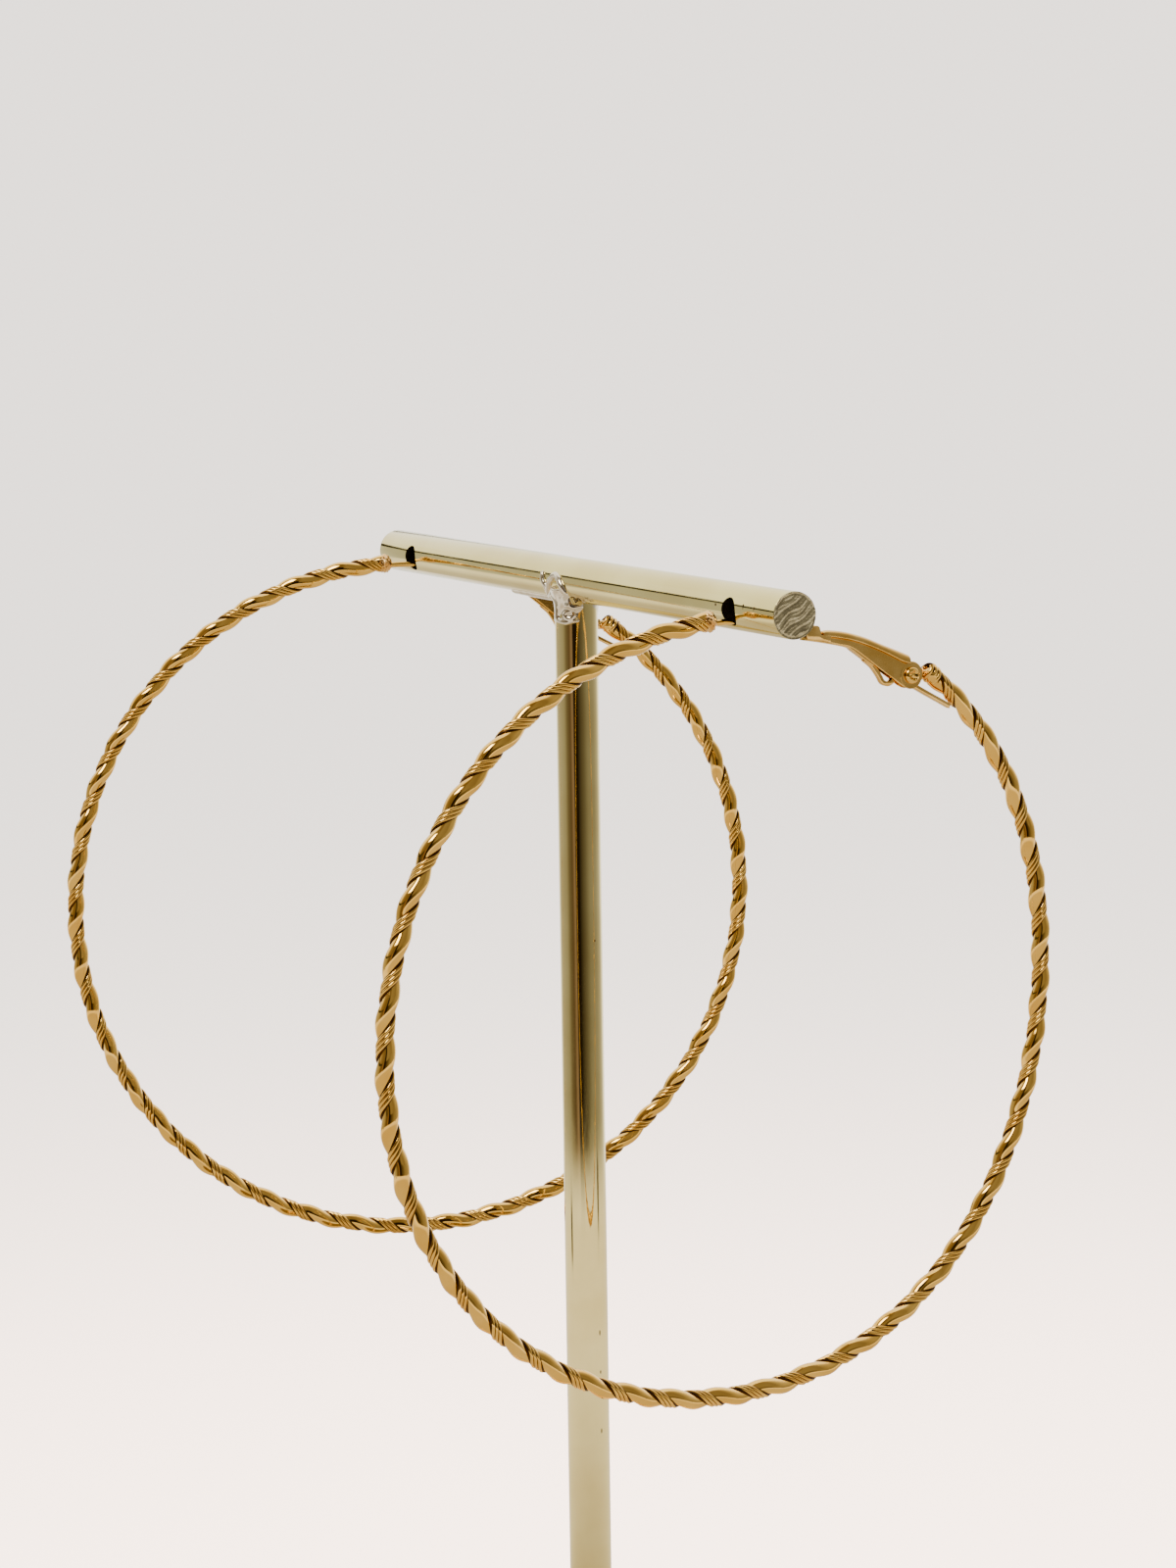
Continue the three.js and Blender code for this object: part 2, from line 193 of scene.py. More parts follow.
@dataclass(frozen=True)
class MetalFinish:
    """A metal surface: two close tones, a varying gloss and a fine relief.

    Sizes are in the frame's metres, so a scale of 1000 is a pattern of about a millimetre.
    """

    name: str
    tone: Colour
    shade: Colour
    gloss: tuple[float, float]
    patch_scale: float = 300.0
    patch_detail: float = 4.0
    shade_below: float = 0.35
    tone_above: float = 0.62
    grain: Triple = (1.0, 1.0, 1.0)
    grain_scale: float = 3000.0
    grain_detail: float = 6.0
    relief: float = 0.000004
    relief_strength: float = 0.3

    def build(self) -> bpy.types.Material:
        """Makes the material.

        Returns:
            The new material.
        """
        material = new_material(self.name)
        tree = NodeTree(material.node_tree)
        patches = tree.noise(tree.stretched(), self.patch_scale, self.patch_detail)
        grain = tree.noise(tree.stretched(self.grain), self.grain_scale, self.grain_detail)
        bump = tree.add("ShaderNodeBump", {
            "Distance": self.relief,
            "Strength": self.relief_strength,
            "Height": grain,
        })
        shader = tree.add("ShaderNodeBsdfPrincipled", {
            "Metallic": 1.0,
            "Base Color": tree.ramp(
                patches, ((self.shade_below, self.shade), (self.tone_above, self.tone)),
            ),
            "Roughness": tree.spread(grain, *self.gloss),
            "Normal": bump.outputs["Normal"],
        })
        tree.add("ShaderNodeOutputMaterial", {"Surface": shader.outputs["BSDF"]})
        return material


POLISHED_GOLD = MetalFinish(
    "polished_gold_wire", (0.94, 0.58, 0.13), (0.85, 0.49, 0.09), (0.04, 0.09),
    patch_scale=260.0, grain_scale=2400.0, relief=0.000006, relief_strength=0.25,
)
FINE_GOLD = MetalFinish(
    "fine_gold_wire", (0.94, 0.58, 0.13), (0.80, 0.44, 0.08), (0.05, 0.11),
    patch_scale=420.0, grain_scale=3600.0, relief=0.000006, relief_strength=0.3,
)
SATIN_GOLD = MetalFinish(
    "satin_gold_sheet", (0.88, 0.57, 0.18), (0.74, 0.43, 0.10), (0.09, 0.18),
    patch_scale=420.0, grain=(0.35, 1.6, 1.6), grain_scale=2000.0, relief=0.000006, relief_strength=0.25,
)
SOLDER_GOLD = MetalFinish(
    "gold_solder", (1.0, 0.66, 0.26), (0.72, 0.36, 0.09), (0.1, 0.24),
    patch_scale=900.0, grain_scale=2200.0, relief=0.00006, relief_strength=0.9,
)
CHAMPAGNE_BAR = MetalFinish(
    "champagne_bar", (0.77, 0.66, 0.27), (0.70, 0.58, 0.22), (0.05, 0.13),
    patch_scale=90.0, grain=(1.0, 0.12, 1.0), grain_scale=1500.0, relief=0.000008, relief_strength=0.3,
)
CHAMPAGNE_POLE = MetalFinish(
    "champagne_pole", (0.79, 0.66, 0.29), (0.71, 0.57, 0.23), (0.035, 0.09),
    patch_scale=110.0, grain=(1.0, 1.0, 0.1), grain_scale=1500.0, relief=0.000008, relief_strength=0.35,
)
CHAMPAGNE_BASE = MetalFinish(
    "champagne_base", (0.78, 0.61, 0.33), (0.69, 0.52, 0.26), (0.16, 0.3),
    patch_scale=60.0, grain=(1.0, 0.1, 1.0), grain_scale=900.0, relief=0.00001, relief_strength=0.3,
)
SAWN_END = MetalFinish(
    "sawn_rod_end", (0.60, 0.53, 0.33), (0.36, 0.31, 0.19), (0.18, 0.32),
    patch_scale=1100.0, grain=(0.6, 1.0, 1.8), grain_scale=2600.0, relief=0.00004, relief_strength=0.5,
)
# Near-black for the bores of the cross holes: painted shade inside them.
HOLE_SHADE = MetalFinish(
    "painted_bore_shade", (0.035, 0.022, 0.012), (0.015, 0.010, 0.006), (0.55, 0.75), patch_scale=900.0,
)
# Dark brown: painted shade on the tubes in the rope's grooves, and real wear on the stand's marks.
PAINTED_GROOVE_SHADE_AND_WEAR = MetalFinish(
    "painted_groove_shade_and_wear_marks", (0.085, 0.036, 0.010), (0.040, 0.015, 0.004), (0.30, 0.50), patch_scale=700.0,
)
SILVER_SOLDER = MetalFinish(
    "silver_solder", (0.84, 0.77, 0.62), (0.66, 0.56, 0.40), (0.06, 0.16),
    patch_scale=700.0, grain_scale=900.0, relief=0.00006, relief_strength=0.45,
)


class Palette:
    """Builds each finish once and hands it out."""

    def __init__(self) -> None:
        """Starts with no finish built."""
        self.built: dict[str, bpy.types.Material] = {}

    def get(self, finish: MetalFinish) -> bpy.types.Material:
        """Gives a finish's material, building it at its first use."""
        if finish.name not in self.built:
            self.built[finish.name] = finish.build()
        return self.built[finish.name]


# Mesh making


@dataclass
class Shell:
    """Points and faces of one or more closed bodies, in millimetres."""

    points: np.ndarray
    faces: list[tuple[int, ...]]

    def object(self, name: str, material: bpy.types.Material, smooth_angle: float = 40.0) -> Piece:
        """Makes the Blender object.

        Args:
            name: The object's name.
            material: Its material.
            smooth_angle: Edges sharper than this many degrees stay sharp.

        Returns:
            The object, linked to the scene, with faces pointing out.
        """
        mesh = bpy.data.meshes.new(name)
        mesh.from_pydata((self.points * MM).tolist(), [], self.faces)
        mesh.validate()
        piece = bpy.data.objects.new(name, mesh)
        bpy.context.scene.collection.objects.link(piece)
        mesh.materials.append(material)
        finish_mesh(piece, smooth_angle)
        return piece


def finish_mesh(piece: Piece, smooth_angle: float) -> None:
    """Turns all faces outwards and shades the piece smooth up to an angle."""
    work = bmesh.new()
    work.from_mesh(piece.data)
    bmesh.ops.recalc_face_normals(work, faces=work.faces)
    limit = math.radians(smooth_angle)
    for face in work.faces:
        face.smooth = True
    for edge in work.edges:
        edge.smooth = edge.calc_face_angle(0.0) < limit
    work.to_mesh(piece.data)
    work.free()


def joined(shells: Sequence[Shell]) -> Shell:
    """Puts shells beside one another in one."""
    faces = []
    start = 0
    for shell in shells:
        faces += [tuple(index + start for index in face) for face in shell.faces]
        start += len(shell.points)
    return Shell(np.vstack([shell.points for shell in shells]), faces)


def tube(rings: Sequence[object], looped: bool = False) -> Shell:
    """A tube through a row of rings, with flat ends unless it is looped.

    Args:
        rings: Points as rings by points by three.
        looped: Whether the last ring joins the first.

    Returns:
        The tube.
    """
    points = np.asarray(rings)
    count, sides = points.shape[:2]
    faces = []
    for ring in range(count if looped else count - 1):
        here = ring * sides
        there = (ring + 1) % count * sides
        for side in range(sides):
            after = (side + 1) % sides
            faces.append((here + side, here + after, there + after, there + side))
    if not looped:
        faces.append(tuple(reversed(range(sides))))
        faces.append(tuple(range((count - 1) * sides, count * sides)))
    return Shell(points.reshape(-1, 3), faces)


def round_tube(
    line: np.ndarray, radii: np.ndarray, first: np.ndarray, second: np.ndarray, sides: int,
) -> Shell:
    """A round tube along a line.

    Args:
        line: The line's points.
        radii: The tube's radius at each of them.
        first: The direction in which each ring starts.
        second: The direction a quarter turn on.
        sides: Points round the tube.

    Returns:
        The tube.
    """
    circle = circle_points(1.0, sides)
    return tube(
        line[:, None, :]
        + radii[:, None, None] * circle[None, :, :1] * first[:, None, :]
        + radii[:, None, None] * circle[None, :, 1:] * second[:, None, :]
    )


def round_angles(sides: int) -> np.ndarray:
    """Evenly spaced angles round a full turn, in radians."""
    return np.linspace(0.0, FULL_TURN, sides, endpoint=False)


def circle_points(radius: float, sides: int) -> np.ndarray:
    """A circle's points round the origin, as sides by two."""
    angles = round_angles(sides)
    return radius * np.stack([np.cos(angles), np.sin(angles)], axis=1)


def spun(points: np.ndarray, first: int, second: int, turn: float) -> np.ndarray:
    """Turns points by an angle in radians.

    Args:
        points: Points by three.
        first: The axis that the turn starts from.
        second: The axis that it turns towards.
        turn: The angle.

    Returns:
        The turned points.
    """
    result = points.copy()
    result[:, first] = points[:, first] * math.cos(turn) - points[:, second] * math.sin(turn)
    result[:, second] = points[:, first] * math.sin(turn) + points[:, second] * math.cos(turn)
    return result


def smooth_row(row: Sequence[Sequence[float]], count: int) -> np.ndarray:
    """Points of a smooth curve through a row of points.

    Args:
        row: The points that the curve goes through.
        count: How many points to return.

    Returns:
        Points evenly spaced by the curve's own parameter.
    """
    points = np.asarray(row, float)
    before = 2 * points[0] - points[1]
    after = 2 * points[-1] - points[-2]
    padded = np.vstack([before, points, after])
    result = []
    for place in np.linspace(0, len(points) - 1, count):
        index = min(int(place), len(points) - 2)
        t = place - index
        a, b, c, d = padded[index:index + 4]
        result.append(0.5 * (
            2 * b + (c - a) * t + (2 * a - 5 * b + 4 * c - d) * t ** 2
            + (3 * b - a - 3 * c + d) * t ** 3
        ))
    return np.array(result)


def tapered(radii: np.ndarray, ends: tuple[float, float], spacing: float) -> np.ndarray:
    """Rounds the ends of a tube by shrinking its last few rings.

    Args:
        radii: The radius at each ring.
        ends: The length of the rounding at each end, 0 for none.
        spacing: The distance between rings.

    Returns:
        The radii with rounded ends.
    """
    smallest = 0.02
    places = np.arange(len(radii)) * spacing
    for length, distance in ((ends[0], places), (ends[1], places[-1] - places)):
        if length > 0:
            share = np.clip(distance / length, smallest, 1.0)
            radii = radii * np.sqrt(1 - (1 - share) ** 2)
    return radii


def plate(outline: np.ndarray, low: float, high: float, bevel: float) -> Shell:
    """A flat plate across the hoop, with rounded rims.

    Args:
        outline: Corners in u and v.
        low: The plate's near face along n.
        high: Its far face along n.
        bevel: The rounding of its rims.

    Returns:
        The plate.
    """
    shoulder = 0.3 * bevel
    inset = offset_outline(outline, -bevel)
    middle = offset_outline(outline, -shoulder)
    rows = (
        (low, inset), (low + shoulder, middle), (low + bevel, outline),
        (high - bevel, outline), (high - shoulder, middle), (high, inset),
    )
    return tube([[(u, depth, v) for u, v in points] for depth, points in rows])


def offset_outline(outline: np.ndarray, distance: float) -> np.ndarray:
    """Moves a closed outline's corners out by a distance, or in where it is negative."""
    bluntest = 0.6
    short_of_mitre = 0.97
    before = np.roll(outline, 1, axis=0)
    after = np.roll(outline, -1, axis=0)
    area = np.sum(outline[:, 0] * after[:, 1] - after[:, 0] * outline[:, 1])
    sense = 1.0 if area > 0 else -1.0
    first = (outline - before) / np.linalg.norm(outline - before, axis=1)[:, None]
    second = (after - outline) / np.linalg.norm(after - outline, axis=1)[:, None]
    normals = np.stack([first[:, 1] + second[:, 1], -first[:, 0] - second[:, 0]], axis=1)
    lengths = np.maximum(np.linalg.norm(normals, axis=1), bluntest)[:, None]
    return outline + sense * distance * normals / lengths ** 2 * 2 * short_of_mitre


def ball(middle: Sequence[float], radii: Triple, crumple: float = 0.0) -> Shell:
    """A closed ball, with a granular surface where it is crumpled.

    Args:
        middle: Its middle.
        radii: Its half sizes along the three axes.
        crumple: How deep the grains are, as a share of its size.

    Returns:
        The ball.
    """
    rows, sides = (26, 40) if crumple else (9, 14)
    pole_gap = 0.02
    lift = np.linspace(pole_gap - math.pi / 2, math.pi / 2 - pole_gap, rows)[:, None]
    turn = round_angles(sides)[None, :]
    grains = np.sin(5 * turn + 4 * lift) * np.cos(6 * lift) + 0.6 * np.sin(9 * turn - 7 * lift + 1.0)
    size = 1 + crumple * grains * np.cos(lift)
    rings = np.stack([
        radii[0] * size * np.sin(lift) + 0 * turn,
        radii[1] * size * np.cos(lift) * np.cos(turn),
        radii[2] * size * np.cos(lift) * np.sin(turn),
    ], axis=2)
    return tube(rings + np.asarray(middle))


def bent_strip(route: Route, steps: int, thickness: float, half_width: float, bevel: float) -> Shell:
    """A strip across the hoop, bent along a route.

    Args:
        route: Places in u and v that the strip's middle goes through.
        steps: How many places its smooth line has.
        thickness: The strip's thickness.
        half_width: Half its width, along n.
        bevel: The rounding of its rims.

    Returns:
        The strip.
    """
    line = smooth_row(route, steps)
    along = np.gradient(line, axis=0)
    along /= np.linalg.norm(along, axis=1)[:, None]
    side = np.stack([-along[:, 1], along[:, 0]], axis=1) * thickness / 2
    return plate(np.vstack([line - side, (line + side)[::-1]]), -half_width, half_width, bevel)


def hump(value: float, middle: float, width: float) -> float:
    """A smooth hump of height 1 at a middle, almost gone at twice its width from it."""
    return math.exp(-((value - middle) / width) ** 2)


def bake(piece: Piece) -> None:
    """Replaces a piece's mesh by what its modifiers make of it."""
    bpy.context.view_layer.update()
    result = bpy.data.meshes.new_from_object(piece.evaluated_get(bpy.context.evaluated_depsgraph_get()))
    piece.modifiers.clear()
    piece.data = result


# The earrings


@dataclass(frozen=True)
class HoopPlace:
    """Where one hoop hangs: its centre, its turn about Z and how far it is out of round.

    Each bend holds how many waves it has round the hoop, and its cosine and sine parts.
    """

    name: str
    body: Body
    centre: Triple
    turn: float
    bends: tuple[tuple[int, float, float], ...] = ()

    def radius(self, angle: np.ndarray, mean: float) -> np.ndarray:
        """The hoop's radius at angles round it."""
        result = np.full_like(angle, mean)
        for waves, cosine, sine in self.bends:
            result = result + cosine * np.cos(waves * angle) + sine * np.sin(waves * angle)
        return result

    def place(self, shell: Shell) -> Shell:
        """Moves a shell from u, n, v round the hoop's centre to the frame's axes."""
        return Shell(spun(shell.points, 0, 1, math.radians(self.turn)) + self.centre, shell.faces)


BAR_HEIGHT = 145.0
FRONT = HoopPlace(
    "front", Body.FRONT_LATCH, (-2.42, -40.89, BAR_HEIGHT - 42.75), 5.05,
    ((2, -0.141, 0.294), (3, -0.446, 0.092), (4, -0.245, 0.090)),
)
BACK = HoopPlace("back", Body.BACK_LATCH, (-2.71, 41.45, BAR_HEIGHT - 42.79), -14.4)
ACROSS = np.array([0.0, 1.0, 0.0])


def outwards(angle: np.ndarray) -> np.ndarray:
    """Directions out of the hoop's centre at angles round it."""
    return np.stack([np.cos(angle), 0 * angle, np.sin(angle)], axis=1)


def wound(angle: np.ndarray, twist: np.ndarray) -> np.ndarray:
    """Directions out of the rope's line, wound by a twist from the hoop's outer side."""
    return np.cos(twist)[:, None] * outwards(angle) + np.sin(twist)[:, None] * ACROSS


@dataclass
class Rope:
    """The hoop's twisted wire: one heavy strand and three fine ones side by side.

    The start and the end are degrees round the hoop. A groove, and each wire of the end coil,
    holds its radius, its offset from the rope's line and its shift round the rope.
    """

    hoop: HoopPlace
    palette: Palette
    radius: float = 41.97
    start: float = 93.1
    end: float = 413.8
    lead: float = 5.895
    phase: float = -46.3
    heavy_radius: float = 0.85
    heavy_offset: float = 0.28
    heavy_shift: float = 180.0
    fine_radius: float = 0.19
    fine_offset: float = 0.785
    fine_spacing: float = 34.0
    # Dark tubes laid in the grooves between the wires: painted shade.
    grooves: tuple[Triple, ...] = (
        (0.15, 0.72, -50.0), (0.105, 0.80, -17.0), (0.105, 0.80, 17.0), (0.15, 0.72, 50.0),
    )
    groove_sides: int = 8
    heavy_sides: int = 28
    fine_sides: int = 14
    steps_per_turn: int = 26
    end_rounding: float = 0.8
    coil_reach: float = 2.4
    coil_turns: float = 2.9
    coil_steps: int = 100
    coil_rounding: float = 0.15
    coil_wire: Triple = (0.22, 0.90, 0.0)
    # A dark tube under the end coil's wire: painted shade.
    coil_groove: Triple = (0.13, 0.88, 0.5)

    def line(self, angle: np.ndarray) -> np.ndarray:
        """Points of the hoop's line."""
        return self.hoop.radius(angle, self.radius)[:, None] * outwards(angle)

    def point(self, degrees: float) -> np.ndarray:
        """One point of the hoop's line."""
        return self.line(np.array([math.radians(degrees)]))[0]

    def angles(self) -> np.ndarray:
        """The angles of the rope's sections."""
        length = math.radians(self.end - self.start) * self.radius
        count = round(length / self.lead * self.steps_per_turn)
        return np.radians(np.linspace(self.start, self.end, count + 1))

    def twist(self, angle: np.ndarray) -> np.ndarray:
        """How far the strands have wound at angles round the hoop."""
        return math.radians(self.phase) + FULL_TURN * self.radius * angle / self.lead

    def strand(self, sides: int, radius: float, offset: float, shift: float) -> Shell:
        """One strand's tube.

        Args:
            sides: Points round the tube.
            radius: The strand's own radius.
            offset: How far its line lies from the rope's.
            shift: Degrees round the rope from the middle fine strand.

        Returns:
            The tube.
        """
        angle = self.angles()
        twist = self.twist(angle) + math.radians(shift)
        radial = wound(angle, twist)
        sideways = wound(angle, twist + math.pi / 2)
        lean = FULL_TURN * offset / self.lead
        tilted = (sideways - lean * outwards(angle + math.pi / 2)) / math.sqrt(1 + lean ** 2)
        rounding = radius * self.end_rounding
        spacing = self.lead / self.steps_per_turn
        radii = tapered(np.full(len(angle), radius), (rounding, rounding), spacing)
        return round_tube(self.line(angle) + offset * radial, radii, radial, tilted, sides)

    def end_coil(self, radius: float, offset: float, shift: float) -> Shell:
        """The fine wires' last turns, curled over the end of the heavy strand.

        Args:
            radius: The wire's own radius.
            offset: How far the coil's wire lies from the rope's line.
            shift: How far round it starts, in turns.

        Returns:
            The coil.
        """
        share = np.linspace(0.0, 1.0, self.coil_steps)
        angle = np.radians(self.end - self.coil_reach * (1 - share))
        twist = self.twist(angle[:1]) + FULL_TURN * (self.coil_turns * share + shift)
        radial = wound(angle, twist)
        path = self.line(angle) + offset * radial
        along = np.gradient(path, axis=0)
        along /= np.linalg.norm(along, axis=1)[:, None]
        rounding = self.coil_rounding
        radii = tapered(np.full(len(share), radius), (rounding, rounding), rounding)
        return round_tube(path, radii, radial, np.cross(along, radial), self.fine_sides)

    def build(self) -> list[Piece]:
        """Builds the strands, dark tubes of painted shade in the grooves between them, and the curled
        ends.

        Returns:
            The strands, the heavy one first.
        """
        heavy = self.strand(self.heavy_sides, self.heavy_radius, self.heavy_offset, self.heavy_shift)
        made = [("heavy_wire", heavy, POLISHED_GOLD)]
        for number in (1, 2, 3):
            shift = (number - 2) * self.fine_spacing
            fine = self.strand(self.fine_sides, self.fine_radius, self.fine_offset, shift)
            made.append((f"fine_wire_{number}", fine, FINE_GOLD))
        # Dark tubes in the grooves and under the end coil paint the shade between the wires.
        groove_shade_tubes = [self.strand(self.groove_sides, *groove) for groove in self.grooves]
        groove_shade_tubes.append(self.end_coil(*self.coil_groove))
        made.append(("grooves", joined(groove_shade_tubes), PAINTED_GROOVE_SHADE_AND_WEAR))
        made.append(("end_coil", self.end_coil(*self.coil_wire), FINE_GOLD))
        return [
            self.hoop.place(shell).object(f"{self.hoop.name}_{part}", self.palette.get(finish))
            for part, shell, finish in made
        ]


@dataclass
class PostAndHinge:
    """What is soldered into the rope's ends: the ear post, and the block for the rivet.

    The profile of the rivet's heads holds radii with heights above the heads' flat face.
    """

    rope: Rope
    post_radius: float = 0.33
    post_sides: int = 20
    post_steps: int = 60
    post_inset: float = 0.21
    post_start: float = 95.5
    post_end: float = 74.6
    solder_shift: float = 0.7
    solder_size: Triple = (0.95, 1.06, 1.06)
    solder_crumple: float = 0.11
    hinge_offset: Triple = (-2.28, 0.0, -0.40)
    block_thickness: float = 0.8
    block_height: float = 1.25
    block_length: float = 1.79
    block_bevel: float = 0.12
    knuckle_radius: float = 1.05
    knuckle_steps: int = 28
    peg_radius: float = 0.42
    peg_sides: int = 16
    peg_length: float = 1.3
    peg_overlap: float = 0.2
    rivet_radius: float = 0.45
    rivet_sides: int = 48
    head_face: float = 0.70
    head_profile: Route = (
        (0.86, 0.0), (0.90, 0.07), (0.87, 0.20), (0.76, 0.33), (0.62, 0.38),
        (0.52, 0.34), (0.42, 0.22), (0.26, 0.12), (0.12, 0.15), (0.02, 0.17),
    )
    hollow_radius: float = 0.42
    hollow_width: float = 0.14
    head_lobes: float = 0.11
    leaf_route: Route = ((0.6, -1.22), (2.2, -2.10), (5.4, -3.80))
    leaf_steps: int = 16
    leaf_thickness: float = 0.54
    leaf_half_width: float = 0.38
    leaf_bevel: float = 0.08

    def bend_radius(self) -> float:
        """The radius that the post keeps round the hoop's centre."""
        return float(np.linalg.norm(self.rope.point(self.rope.start))) - self.post_inset

    def hinge(self) -> np.ndarray:
        """The rivet's middle."""
        return self.rope.point(self.rope.end) + self.hinge_offset

    def post_tip(self) -> np.ndarray:
        """The middle of the post's tip."""
        return self.bend_radius() * outwards(np.array([math.radians(self.post_end)]))[0]

    def post(self) -> Shell:
        """The ear post, a round wire that keeps the hoop's curve, with a rounded tip."""
        angle = np.radians(np.linspace(self.post_end, self.post_start, self.post_steps))
        outward = outwards(angle)
        spacing = self.bend_radius() * (angle[1] - angle[0])
        radii = tapered(np.full(len(angle), self.post_radius), (self.post_radius, 0.0), spacing)
        across = np.broadcast_to(ACROSS, outward.shape)
        return round_tube(self.bend_radius() * outward, radii, outward, across, self.post_sides)

    def block_outline(self) -> np.ndarray:
        """The hinge block's side outline: a round knuckle with a bar to the rope."""
        half = self.block_height / 2
        begin = math.asin(half / self.knuckle_radius)
        arc = np.linspace(begin, FULL_TURN - begin, self.knuckle_steps)
        knuckle = self.knuckle_radius * np.stack([np.cos(arc), np.sin(arc)], axis=1)
        bar = np.array([(self.block_length, -half), (self.block_length, half)])
        return np.vstack([knuckle, bar])

    def block(self) -> Shell:
        """The hinge block with its peg, measured from the hinge."""
        half = self.block_thickness / 2
        begin = self.block_length - self.peg_overlap
        circle = circle_points(self.peg_radius, self.peg_sides)
        return joined([
            plate(self.block_outline(), -half, half, self.block_bevel),
            tube([[(u, n, v) for n, v in circle] for u in (begin, begin + self.peg_length)]),
        ])

    def rivet(self) -> Shell:
        """The rivet: a pin whose heads are domed rings round a lobed, crushed hollow."""
        angle = round_angles(self.rivet_sides)
        rows = [(np.full_like(angle, self.rivet_radius), np.full_like(angle, self.head_face))]
        for radius, height in self.head_profile:
            hollow = self.head_lobes * hump(radius, self.hollow_radius, self.hollow_width)
            lobed = radius * (1 + hollow * np.sin(5 * angle + 0.6))
            crushed = height + hollow * np.sin(3 * angle + 1.9)
            rows.append((lobed, self.head_face + crushed))
        near = [(radius, -depth) for radius, depth in reversed(rows)]
        return tube([
            np.stack([radius * np.cos(angle), depth, radius * np.sin(angle)], axis=1)
            for radius, depth in near + rows
        ])

    def solder(self) -> Shell:
        """The granular solder that holds the post in the rope's first end."""
        middle = self.rope.point(self.rope.start + self.solder_shift)
        return ball(middle, self.solder_size, self.solder_crumple)

    def leaf(self) -> Shell:
        """The flat spring from the rope's inner side to the ears, measured from the hinge."""
        size = self.leaf_thickness, self.leaf_half_width, self.leaf_bevel
        return bent_strip(self.leaf_route, self.leaf_steps, *size)

    def at_hinge(self, shell: Shell) -> Shell:
        """Moves a shell that is measured from the hinge to the hoop's centre."""
        return Shell(shell.points + self.hinge(), shell.faces)

    def build(self) -> dict[str, Piece]:
        """Builds the fittings of one earring.

        Returns:
            The pieces by their part.
        """
        hoop = self.rope.hoop
        palette = self.rope.palette
        made = {
            "post": (self.post(), POLISHED_GOLD),
            "hinge_block": (self.at_hinge(self.block()), SATIN_GOLD),
            "rivet": (self.at_hinge(self.rivet()), POLISHED_GOLD),
            "leaf": (self.at_hinge(self.leaf()), SATIN_GOLD),
            "solder": (self.solder(), SOLDER_GOLD),
        }
        return {
            part: hoop.place(shell).object(f"{hoop.name}_{part}_piece", palette.get(finish))
            for part, (shell, finish) in made.items()
        }


